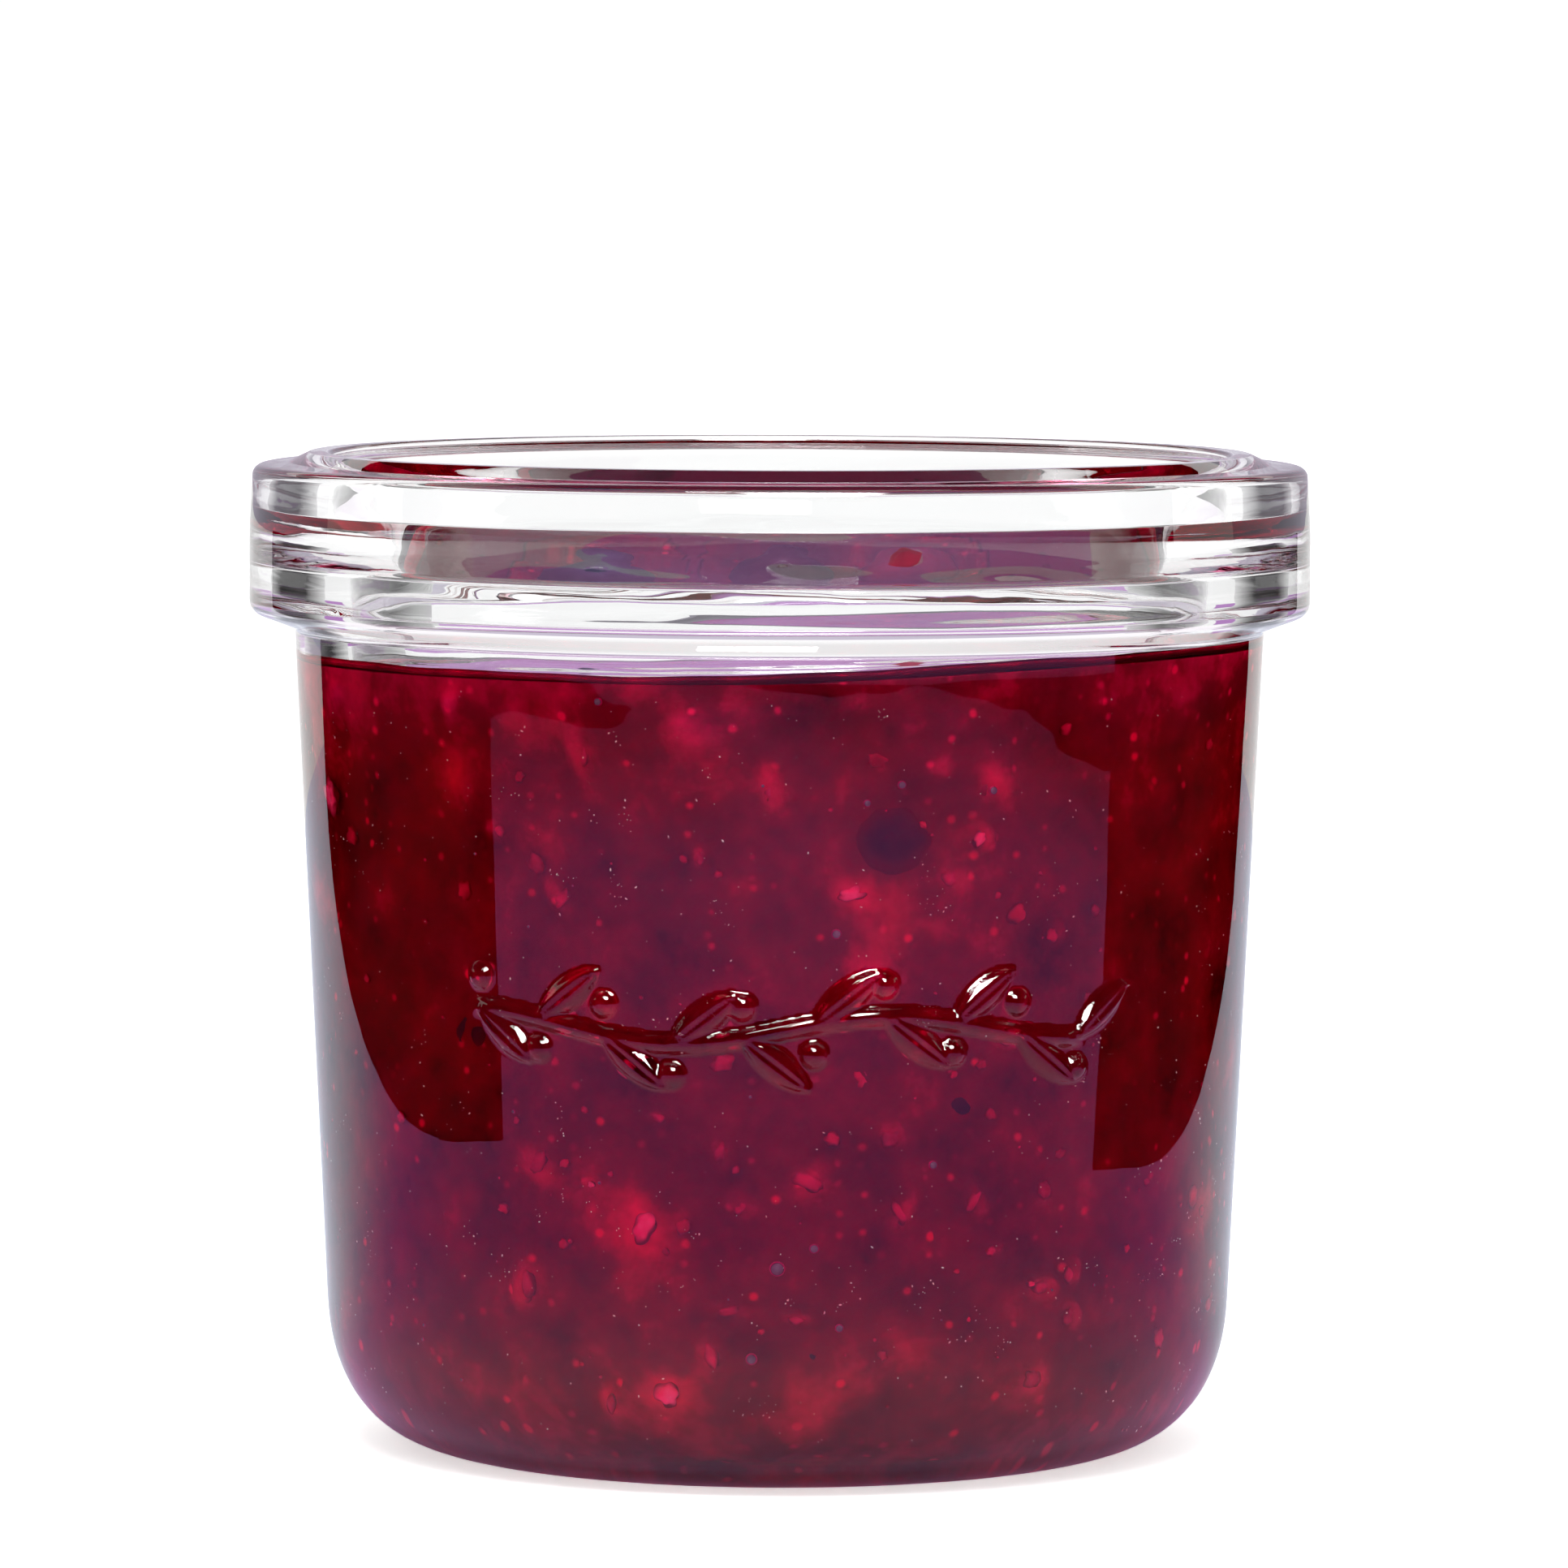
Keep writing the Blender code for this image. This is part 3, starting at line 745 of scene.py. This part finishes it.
def pulp_outline():
    """The thick of the jam, which stops a little short of the surface and the glass."""
    top = JAM_LEVEL - PULP_TOP_DROP
    bottom = FLOOR_THICKNESS + PULP_FLOOR_GAP
    corners = (
        (0.0, top, 0.0),
        (inner_radius(top) - MENISCUS_REACH, top, 0.8 * MM),
        (inner_radius(top) - PULP_LIP, JAM_LEVEL + PULP_LIP_RISE, 0.1 * MM),
        (inner_radius(top) - 1.3 * MM, top - 1.8 * MM, 1.0 * MM),
        (inner_radius(top) - PULP_INSET, top - 5.5 * MM, 2.0 * MM),
        (INNER_LOW_RADIUS - PULP_INSET, FLOOR_THICKNESS + INNER_HEEL_HEIGHT, 0.0),
    )
    points = [Vector((0.0, top))]
    for point in rounded(corners, steps=5)[1:]:
        points += straight(points[-1], point, 0.55 * MM)
    for point in inner_heel(steps=20)[::-1][1:]:
        up = point.y - FLOOR_THICKNESS
        shrink = (INNER_LOW_RADIUS - PULP_INSET) / INNER_LOW_RADIUS
        points.append(Vector((point.x * shrink, bottom + up * (1 - PULP_FLOOR_GAP / INNER_HEEL_HEIGHT))))
    points += flat_run(points[-1].x, bottom, 20)[::-1]
    return points


def fruit_material(name, scale, stops, gloss=0.0, bumps=0.0, fade=None):
    """Fruit flesh or skin, with its colours in clouds of a scale.

    fade, if given, is the colour at a lump's rim, with the start and end of the fade in the lump's own
    heart value, which is 1 at its front and 0 at its rim.
    """
    paint = Paint(name)
    cloud = paint.add("TexNoise", {"Vector": paint.place(), "Scale": scale, "Detail": 5.0})
    colour = paint.ramp(cloud.outputs["Fac"], stops)
    if fade:
        edge_colour, start, end = fade
        share = paint.ease(paint.attribute("heart"), start, end)
        colour = paint.mix(share, (*edge_colour, 1.0), colour)
    paint.put({"Base Color": colour, "Roughness": FRUIT_ROUGHNESS, "Specular IOR Level": gloss})
    if bumps:
        paint.bump(cloud.outputs["Fac"], 0.6, bumps)
    return paint.material


def pulp_material():
    """Dark clouds, wine, red and light, with pale grains, which a place's value of flesh and painted light
    lightens, or painted shade darkens.
    """
    wine, dark = (0.16, 0.003, 0.040), (0.062, 0.0005, 0.0065)
    mid, light = (0.235, 0.001, 0.020), (0.86, 0.004, 0.088)
    paint = Paint("jam_pulp")
    place = paint.place()
    cloud = paint.add("TexNoise", {"Vector": place, "Scale": 170.0, "Detail": 9.0, "Roughness": 0.66})
    grains = paint.add("TexVoronoi", {"Vector": place, "Scale": 620.0})
    dot = paint.ease(grains.outputs["Distance"], 0.34, 0.08)
    draw = paint.add("SeparateColor", {"Color": grains.outputs["Color"]}).outputs["Red"]
    few = paint.add("MapRange", {"Value": draw, "From Min": 0.62, "From Max": 1.0, "To Max": 0.45})
    dotted = paint.math("MULTIPLY_ADD", dot, few.outputs["Result"], cloud.outputs["Fac"])
    strength = paint.math("MULTIPLY_ADD", paint.attribute("flesh_and_painted_light"), 0.18, dotted)
    colour = paint.ramp(strength, ((0.18, wine), (0.32, dark), (0.62, mid), (0.95, light)))
    paint.put({"Base Color": colour, "Roughness": 0.8, "Specular IOR Level": 0.0})
    return paint.material


def make_pulp():
    pulp = turned("jam_pulp", pulp_outline(), even_turns(PULP_COLUMNS), pulp_shift, pulp_material())
    mesh = pulp.data
    points = np.empty(3 * len(mesh.vertices))
    mesh.vertices.foreach_get("co", points)
    flesh_and_painted_light = mesh.attributes.new("flesh_and_painted_light", "FLOAT", "POINT")
    points = points.reshape(-1, 3)
    light_and_flesh_values = np.clip(painted_light_and_flesh_at(points), 0.0, 2.4)
    # The top of the pulp, away from the wall, takes painted shade; the rest takes its flesh and painted
    # light.
    on_top = points[:, 2] > JAM_LEVEL + side_rise(points[:, 0]) - 1.6 * PULP_TOP_DROP
    far_in = np.hypot(points[:, 0], points[:, 1]) < THROAT_RADIUS - PULP_INSET
    flesh_and_painted_light.data.foreach_set("value", np.where(on_top & far_in, TOP_SHADE, light_and_flesh_values))
    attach(pulp, "root")


# ----------- what is sunk in the jam

def ball_template(subdivisions):
    """The points and faces of a ball of radius 1."""
    work = bmesh.new()
    bmesh.ops.create_icosphere(work, subdivisions=subdivisions, radius=1.0)
    points = np.array([vertex.co[:] for vertex in work.verts])
    faces = [[vertex.index for vertex in face.verts] for face in work.faces]
    work.free()
    return points, faces


class Heap:
    """Gathers many small lumps into one mesh."""

    def __init__(self, name, subdivisions, seed):
        self.name = name
        self.template, self.template_faces = ball_template(subdivisions)
        self.chance = random.Random(seed)
        self.points = []
        self.faces = []
        self.hearts = []

    def add(self, place, radii, tilt=0.0, ragged=0.0, crinkle=2.0):
        """A ball of three radii (across, out of the wall, up), facing out from the jar's axis."""
        offset = Vector((self.chance.uniform(-50, 50), self.chance.uniform(-50, 50), 0.0))
        points = self.template
        if ragged:
            grow = [1 + ragged * noise.noise(Vector(point) * crinkle + offset) for point in points]
            points = points * np.array(grow)[:, None]
        points = points * np.array(radii)
        facing = math.atan2(place.x, -place.y)
        turn = Matrix.Rotation(facing, 3, "Z") @ Matrix.Rotation(tilt, 3, "Y")
        points = points @ np.array(turn).T + np.array(place)
        base = sum(len(part) for part in self.points)
        self.points.append(points)
        self.hearts.append(np.maximum(-self.template[:, 1], 0.0))
        self.faces += [[base + index for index in face] for face in self.template_faces]

    def build(self, material):
        mesh = mesh_of(self.name, np.concatenate(self.points).tolist(), self.faces)
        mesh.shade_smooth()
        heart = mesh.attributes.new("heart", "FLOAT", "POINT")
        heart.data.foreach_set("value", np.concatenate(self.hearts))
        obj = add_object(self.name, mesh, material)
        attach(obj, "root")


def round_place(chance, low, high, depth):
    """A place at a depth behind the glass, anywhere round the jar between two heights."""
    height = chance.uniform(low, high)
    radius = inside_radius(height) - depth
    return round_axis(radius, chance.uniform(-math.pi, math.pi), height)


# Whole dark fruit: across, height, radius, and how far behind the glass its front is
SUNK_FRUIT = (
    (10.6, 52, 4.6, 1.25), (3.5, 11, 2.6, 2.4), (-28.5, 36, 3.4, 2.2), (17.5, 31, 3, 2.4),
)
# Bubbles: across, height, radius
BUBBLES = (
    (0, 18.3, 0.62), (3.9, 19.9, 0.38), (-2.7, 11.2, 0.45), (16.4, 26.3, 0.36), (12.9, 56.2, 0.34),
    (6.1, 44.6, 0.40), (9.3, 54.8, 0.30), (6.6, 13.6, 0.34), (22.5, 55.6, 0.36), (-19, 62.5, 0.34),
)
# Painted light of a bubble, from its rim to its middle: a red ring and a lilac middle that stand in for how
# light bends and mirrors in the air
BUBBLE_PAINTED_LIGHT_RINGS = (
    (0.0, (0.50, 0.006, 0.08)), (0.52, (0.60, 0.012, 0.12)), (0.62, (0.10, 0.006, 0.03)),
    (0.72, (0.17, 0.09, 0.15)), (1.0, (0.11, 0.05, 0.09)),
)
FLESH_DEPTH = 1.5 * MM
PALE_DEPTH = 1.35 * MM
EDGE_COLOUR = (0.20, 0.001, 0.018)
SUNK_EDGE = (0.15, 0.001, 0.014)
# How many more are placed round the jar; pale lumps and dark fruit that fall in front are left out
ROUND_LUMPS = 300
ROUND_PALE_LUMPS = 9
ROUND_SUNK_FRUIT = 8
ROUND_BUBBLES = 40
SPECK_COUNT = 1500


def add_lumps(heap, lumps, depth):
    for across, height, half_width, half_height, tilt in lumps:
        place = behind_glass(across * MM, height * MM, depth)
        sine = abs(across * MM) / (JAM_IOR * inside_radius(height * MM))
        slant = math.cos(math.asin(min(0.9, sine)))
        radii = (0.62 * half_width * MM / (1 + 0.3 * slant), 0.4 * MM, 0.62 * half_height * MM)
        heap.add(place, radii, math.radians(tilt), ragged=0.45, crinkle=1.4)


def make_red_flesh():
    heap = Heap("red_fruit_flesh", 3, seed=3)
    add_lumps(heap, RED_LUMPS, FLESH_DEPTH)
    for _ in range(ROUND_LUMPS):
        size = 0.07 + 0.5 * heap.chance.random() ** 4
        place = round_place(heap.chance, 7 * MM, 62 * MM, heap.chance.uniform(1.5, 2.3) * MM)
        radii = (1.6 * size * MM, 0.7 * size * MM, 1.3 * size * MM)
        heap.add(place, radii, heap.chance.uniform(-1.2, 1.2), ragged=0.5, crinkle=1.8)
    red, light = (0.32, 0.002, 0.038), (0.66, 0.006, 0.095)
    flesh = fruit_material("red_flesh", 420.0, ((0.35, red), (0.65, light)), fade=(EDGE_COLOUR, 0.0, 0.9))
    heap.build(flesh)


def make_pale_flesh():
    heap = Heap("pale_fruit_flesh", 4, seed=5)
    add_lumps(heap, PALE_LUMPS, PALE_DEPTH)
    for _ in range(ROUND_PALE_LUMPS):
        place = round_place(heap.chance, 8 * MM, 60 * MM, 1.2 * MM)
        if place.y > -12 * MM:
            heap.add(place, (1.4 * MM, 0.6 * MM, 1.0 * MM), heap.chance.uniform(-1, 1), ragged=0.5)
    rose, cream = (1.0, 0.02, 0.18), (1.0, 0.14, 0.30)
    flesh = fruit_material("pale_flesh", 520.0, ((0.38, rose), (0.66, cream)), fade=(EDGE_COLOUR, 0.1, 0.8))
    heap.build(flesh)


def make_sunk_fruit():
    heap = Heap("dark_sunk_fruit", 4, seed=7)
    for across, height, radius, depth in SUNK_FRUIT:
        place = behind_glass(across * MM, height * MM, depth * MM + radius * MM)
        heap.add(place, (radius * MM, radius * MM, 0.9 * radius * MM), ragged=0.12, crinkle=2.5)
    for _ in range(ROUND_SUNK_FRUIT):
        place = round_place(heap.chance, 10 * MM, 58 * MM, 5.0 * MM)
        if place.y > -8 * MM:
            heap.add(place, (3.6 * MM, 3.6 * MM, 3.2 * MM), ragged=0.12, crinkle=2.5)
    navy, plum = (0.012, 0.010, 0.030), (0.07, 0.012, 0.035)
    skin = fruit_material("sunk_skin", 330.0, ((0.4, navy), (0.7, plum)), fade=(SUNK_EDGE, 0.74, 1.0))
    heap.build(skin)


def make_bubbles():
    heap = Heap("air_bubbles", 3, seed=9)
    for across, height, radius in BUBBLES:
        place = behind_glass(across * MM, height * MM, (radius + 0.25) * MM)
        heap.add(place, (radius * MM,) * 3)
    for _ in range(ROUND_BUBBLES):
        radius = heap.chance.uniform(0.07, 0.16) * MM
        heap.add(round_place(heap.chance, 6 * MM, 63 * MM, radius + 0.25 * MM), (radius,) * 3)
    heap.build(painted_bubble_light())


def painted_bubble_light():
    """Painted light: a red ring round a lilac middle, painted to stand in for how light bends and mirrors
    in air in jam, as seen from outside the glass.
    """
    paint = Paint("bubble_painted_light")
    colour = paint.ramp(paint.attribute("heart"), BUBBLE_PAINTED_LIGHT_RINGS)
    paint.put({"Base Color": colour, "Roughness": 0.08})
    return paint.material


def make_specks():
    """Tiny pale specks, alone and in loose strings."""
    heap = Heap("pale_specks", 1, seed=13)
    chance = heap.chance
    for index in range(SPECK_COUNT):
        place = round_place(chance, 5 * MM, 63 * MM, chance.uniform(0.05, 0.25) * MM)
        string = chance.randint(4, 9) if index % 9 == 0 else 1
        way = Vector((chance.uniform(-1, 1), chance.uniform(-0.2, 0.2), chance.uniform(-0.7, 0.7))) * MM
        for step in range(string):
            size = (0.020 + 0.050 * chance.random() ** 3) * MM
            stray = Vector((chance.gauss(0, 0.25), 0.0, chance.gauss(0, 0.25))) * MM
            radii = (size, size, size * chance.uniform(0.8, 2.2))
            tilt = chance.uniform(-1.5, 1.5)
            spot = place + way * (step * 0.45) + (stray if string > 1 else Vector())
            heap.add(spot, radii, tilt, ragged=0.5)
    pink, white = (0.95, 0.45, 0.50), (1.0, 0.92, 0.92)
    heap.build(fruit_material("speck", 900.0, ((0.45, pink), (0.60, white))))


# ----------- berries at the surface

def crown_relief(polar, round_angle):
    """The height of the star-shaped crown and its hollow, as a share of the berry's radius."""
    star = 0.75 + 0.25 * np.cos(CROWN_POINTS * round_angle)
    ridge = 0.10 * star * np.exp(-(((polar - 0.40) / 0.09) ** 2))
    hollow = -0.20 * np.exp(-((polar / 0.30) ** 4))
    return ridge + hollow


def berry_mesh(name, radius, crowned):
    """A berry with its crown or its dry tip upwards, wrinkled by the cooking."""
    rings, columns = 60, 72
    places, faces = [], []
    angles = even_turns(columns)
    for ring in range(rings + 1):
        polar = math.pi * ring / rings
        out, up = math.sin(polar), math.cos(polar)
        if crowned:
            growth = 1 + crown_relief(polar, angles)
        else:
            dent = 0.10 * math.exp(-((polar / 0.18) ** 2))
            growth = 1 - dent + 0.008 * np.cos(12 * angles) * out
        for angle, grow in zip(angles.tolist(), growth.tolist()):
            way = Vector((out * math.cos(angle), out * math.sin(angle), up))
            wrinkle = 0.035 * noise.noise(way * 2.3) + 0.014 * noise.noise(way * 7.0)
            reach = radius * grow * (0.97 + wrinkle)
            places.append((reach * way.x, reach * way.y, BERRY_FLATNESS * reach * way.z))
    for ring in range(rings):
        faces += band(ring * columns, (ring + 1) * columns, columns)
    mesh = mesh_of(name, places, faces)
    work = bmesh.new()
    work.from_mesh(mesh)
    bmesh.ops.remove_doubles(work, verts=work.verts, dist=1e-6)
    work.to_mesh(mesh)
    work.free()
    mesh.shade_smooth()
    return mesh


def make_berries():
    navy, bloom = (0.010, 0.009, 0.028), (0.060, 0.055, 0.120)
    blood, scarlet = (0.16, 0.002, 0.016), (0.36, 0.005, 0.030)
    umber, rust = (0.030, 0.002, 0.008), (0.090, 0.006, 0.020)
    dark = fruit_material("dark_skin", 300.0, ((0.35, navy), (0.75, bloom)), SKIN_GLOSS, 0.0002)
    red = fruit_material("red_skin", 260.0, ((0.35, blood), (0.75, scarlet)), SKIN_GLOSS, 0.0001)
    brown = fruit_material("brown_skin", 260.0, ((0.35, umber), (0.75, rust)), SKIN_GLOSS, 0.0002)
    for node, (lean, turn, crowned) in BERRY_LOOKS.items():
        low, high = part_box(node)
        middle = (low + high) / 2
        radius = max(high.x - low.x, high.y - low.y) / 2
        mesh = berry_mesh(node + "_skin", radius, crowned)
        tip = Matrix.Rotation(math.radians(turn), 4, "Z") @ Matrix.Rotation(math.radians(lean), 4, "Y")
        mesh.transform(Matrix.Translation(middle) @ tip)
        skin = brown if node == "dark_berry_middle" else dark
        berry = add_object(node + "_skin", mesh, skin if crowned else red)
        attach(berry, "root")
        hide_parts(node)


# ----------- studio

def matt_paint(name, colour):
    paint = Paint(name)
    paint.put({"Base Color": colour, "Roughness": 1.0, "Specular IOR Level": 0.0})
    return paint


def glowing_paint(name, colour):
    paint = matt_paint(name, BLACK)
    paint.put({"Emission Color": colour, "Emission Strength": 1.0})
    return paint


def brushed_paint(name):
    """Slate in the middle of a strip, which fades to white at its upright edges in fine level streaks."""
    paint = glowing_paint(name, FLOOR_WHITE)
    spot = paint.split(paint.place())
    streaks = paint.add("TexNoise", {"W": spot["Z"], "Scale": 260.0}, noise_dimensions="1D")
    bearing = paint.math("ARCTAN2", paint.math("ABSOLUTE", spot["X"]), spot["Y"])
    stray = paint.math("MULTIPLY_ADD", streaks.outputs["Fac"], math.radians(STRIP_STRAY), bearing)
    start, end = math.radians(180 - STRIP_END), math.radians(180 - STRIP_START + STRIP_STRAY)
    share = paint.add("MapRange", {"Value": stray, "From Min": start, "From Max": end})
    greys = [(position, (grey, grey, grey)) for position, grey in STRIP_GREYS]
    paint.put({"Emission Color": paint.ramp(share.outputs["Result"], greys)})
    return paint


def floor_paint():
    """White paint, which a gloss shows dim and lilac near the jar, and paler behind the jar."""
    paint = matt_paint("floor_paint", FLOOR_WHITE)
    place = paint.place()
    distance = paint.add("VectorMath", {0: place}, operation="LENGTH").outputs["Value"]
    bearing = paint.add("VectorMath", {0: place}, operation="NORMALIZE").outputs["Vector"]
    side, back = (-math.cos(math.radians(angle)) for angle in GLOSS_TURN)
    behind = paint.ease(paint.split(bearing)["Y"], side, back)
    dim = paint.mix(behind, paint.ramp(distance, GLOSS_FRONT), GLOSS_BEHIND)
    path = paint.add("LightPath").outputs
    mirrored = paint.math("MULTIPLY", path["Is Glossy Ray"], path["Is Reflection Ray"])
    near = paint.math("LESS_THAN", distance, GLOSS_REACH)
    colour = paint.mix(paint.math("MULTIPLY", mirrored, near), FLOOR_WHITE, dim)
    lift = paint.math("MULTIPLY", path["Is Camera Ray"], SHADOW_LIFT)
    paint.put({"Base Color": colour, "Emission Color": WHITE, "Emission Strength": lift})
    return paint


def aim(place):
    """The turn that makes a card or a light at a place face the jar."""
    return (Vector((0, 0, 0.05)) - Vector(place)).to_track_quat("-Z", "Y")


def light_card(name, place, size_x, size_y, strength):
    """A bright soft panel that only shows as a highlight."""
    paint = Paint(name)
    spot = paint.split(paint.place())
    fades = []
    for axis, half, top in (("X", size_x / 2, strength), ("Y", size_y / 2, 1.0)):
        away = paint.math("ABSOLUTE", spot[axis])
        fades.append(paint.ease(away, half, PANEL_HEART * half, top))
    power = paint.math("MULTIPLY", *fades)
    paint.put({"Base Color": BLACK, "Emission Color": WHITE, "Emission Strength": power})
    matrix = Matrix.Translation(place) @ aim(place).to_matrix().to_4x4()
    seen_by(plane(name, size_x, size_y, matrix, paint), glass=False)


def seen_by(obj, glass):
    """Shows a card only through glass, or else only in what a gloss mirrors."""
    obj.visible_camera = False
    obj.visible_diffuse = False
    obj.visible_shadow = False
    obj.visible_glossy = not glass
    obj.visible_transmission = glass


def plane(name, size_x, size_y, matrix, paint):
    x, y = size_x / 2, size_y / 2
    mesh = mesh_of(name, [(-x, -y, 0), (x, -y, 0), (x, y, 0), (-x, y, 0)], [(0, 1, 2, 3)])
    obj = add_object(name, mesh, paint.material)
    obj.matrix_world = matrix
    return obj


def arc_card(name, radius, start_deg, end_deg, low, high, paint, rise=0.0, glass=False):
    """An upright curved card from one bearing to another, 0 at the front, between two heights.

    rise is how far the lower edge climbs, in a round corner, towards the end bearing.
    """
    steps = 48
    places, faces = [], []
    for step in range(steps + 1):
        share = step / steps
        turn = math.radians(start_deg + (end_deg - start_deg) * share)
        round_share = max(0.0, (share - CORNER_START) / (1 - CORNER_START))
        foot = low + rise * (1 - math.sqrt(1 - round_share**2))
        places += [round_axis(radius, turn, level) for level in (foot, high)]
    for step in range(steps):
        first = 2 * step
        faces.append((first, first + 2, first + 3, first + 1))
    obj = add_object(name, mesh_of(name, places, faces), paint.material)
    seen_by(obj, glass)


def make_key_light():
    light = bpy.data.lights.new("key", "AREA")
    light.shape = "RECTANGLE"
    light.size, light.size_y = 0.30, 0.16
    light.energy = 2.0
    key = add_object("key", light)
    key.location = (-0.05, -0.45, 0.60)
    key.rotation_euler = aim(key.location).to_euler()


def make_world():
    world = bpy.data.worlds.new("studio")
    bpy.context.scene.world = world
    world.use_nodes = True
    background = world.node_tree.nodes["Background"]
    background.inputs["Color"].default_value = WHITE
    background.inputs["Strength"].default_value = WORLD_STRENGTH


WHITE = (1.0, 1.0, 1.0, 1.0)
BLACK = (0.0, 0.0, 0.0, 1.0)
WORLD_STRENGTH = 1.04
FLOOR_WHITE = (0.96, 0.96, 0.96, 1.0)
# What a gloss shows of the floor in front: distance from the axis in metres, and the colour there
GLOSS_FRONT = (
    (0.05, (0.80, 0.46, 0.80)), (0.13, (0.68, 0.17, 0.60)),
    (0.32, (0.68, 0.17, 0.60)), (0.43, (0.26, 0.07, 0.23)),
)
# What it shows behind, and the bearings between which it turns from the one to the other
GLOSS_BEHIND = (0.70, 0.74, 0.86, 1.0)
GLOSS_TURN = (95, 138)
GLOSS_REACH = 0.60
# How much of the white the floor gives off to the camera, which lightens the jar's shadow
SHADOW_LIFT = 0.5
# Colours of the glowing cards, and how far from the axis the curved ones stand
APRON_DUSK = (0.40, 0.25, 0.44, 1.0)
DUSK_LOW = (0.52, 0.26, 0.60, 1.0)
DUSK_HIGH = (0.56, 0.52, 0.62, 1.0)
FLAG_RADIUS = 0.127
FAR_RADIUS = 0.445
CORNER_START = 0.25
# Strips at both sides: bearings of their edges, how far the edges stray, and the greys by the share
# of the way across
STRIP_START = 128
STRIP_END = 160
STRIP_STRAY = 5
STRIP_GREYS = ((0.0, 1.0), (0.16, 0.35), (0.26, 0.03), (0.66, 0.05), (0.80, 0.4), (1.0, 1.0))
# Share of the half width of the panel that is fully bright
PANEL_HEART = 0.55


def make_studio():
    make_world()
    plane("floor", 8.0, 8.0, Matrix.Identity(4), floor_paint())
    black = matt_paint("black_card", BLACK)
    arc_card("flag_left", FLAG_RADIUS, -62, -124, 0.0098, 0.072, black, rise=0.032)
    arc_card("flag_right", FLAG_RADIUS, 74, 132, 0.0075, 0.072, black, rise=0.034)
    arc_card("flag_front", FAR_RADIUS, -85, 90, 0.0, 0.30, black)
    purple = glowing_paint("purple_card", DUSK_LOW)
    lilac = glowing_paint("lilac_card", DUSK_HIGH)
    arc_card("flag_behind_low", FAR_RADIUS, 122, 238, 0.062, 0.142, purple, glass=True)
    arc_card("flag_behind_high", FAR_RADIUS, 140, 220, 0.142, 0.24, lilac, glass=True)
    arc_card("flag_behind_gloss", FAR_RADIUS + 0.005, 110, 250, 0.062, 0.24, lilac)
    dusk = glowing_paint("apron_card", APRON_DUSK)
    seen_by(plane("apron", 0.9, 0.21, Matrix.Translation((0, -0.165, 0.0003)), dusk), glass=True)
    seen_by(plane("ceiling", 3.0, 3.0, Matrix.Translation((0, 0, 0.80)), black), glass=False)
    slate = brushed_paint("slate_card")
    arc_card("strip_left", 0.30, -STRIP_START, -STRIP_END, 0.0, 0.20, slate, glass=True)
    arc_card("strip_right", 0.30, STRIP_START, STRIP_END, 0.0, 0.20, slate, glass=True)
    light_card("panel", (0.07, -0.50, 0.42), 0.32, 0.40, 60.0)
    make_key_light()


def make_camera():
    data = bpy.data.cameras.new("camera")
    data.lens = CAMERA_LENS
    data.sensor_width = SENSOR_WIDTH
    data.clip_start = 0.01
    camera = add_object("camera", data)
    place = Matrix.Translation((CAMERA_SIDE, -CAMERA_DISTANCE, CAMERA_HEIGHT))
    tip = Matrix.Rotation(math.pi / 2 - CAMERA_PITCH, 4, "X") @ Matrix.Rotation(CAMERA_ROLL, 4, "Z")
    camera.matrix_world = place @ tip
    bpy.context.scene.camera = camera


def corners(bounds):
    return [[float(value) for value in corner] for corner in bounds]


def main():
    make_camera()
    make_studio()
    make_jar()
    make_gel()
    make_pulp()
    make_berries()
    make_red_flesh()
    make_pale_flesh()
    make_sunk_fruit()
    make_bubbles()
    make_specks()
    scene = bpy.context.scene
    scene.view_settings.view_transform = "Standard"
    scene.cycles.max_bounces = BOUNCES
    scene.cycles.transmission_bounces = BOUNCES
    scene.cycles.glossy_bounces = BOUNCES


main()
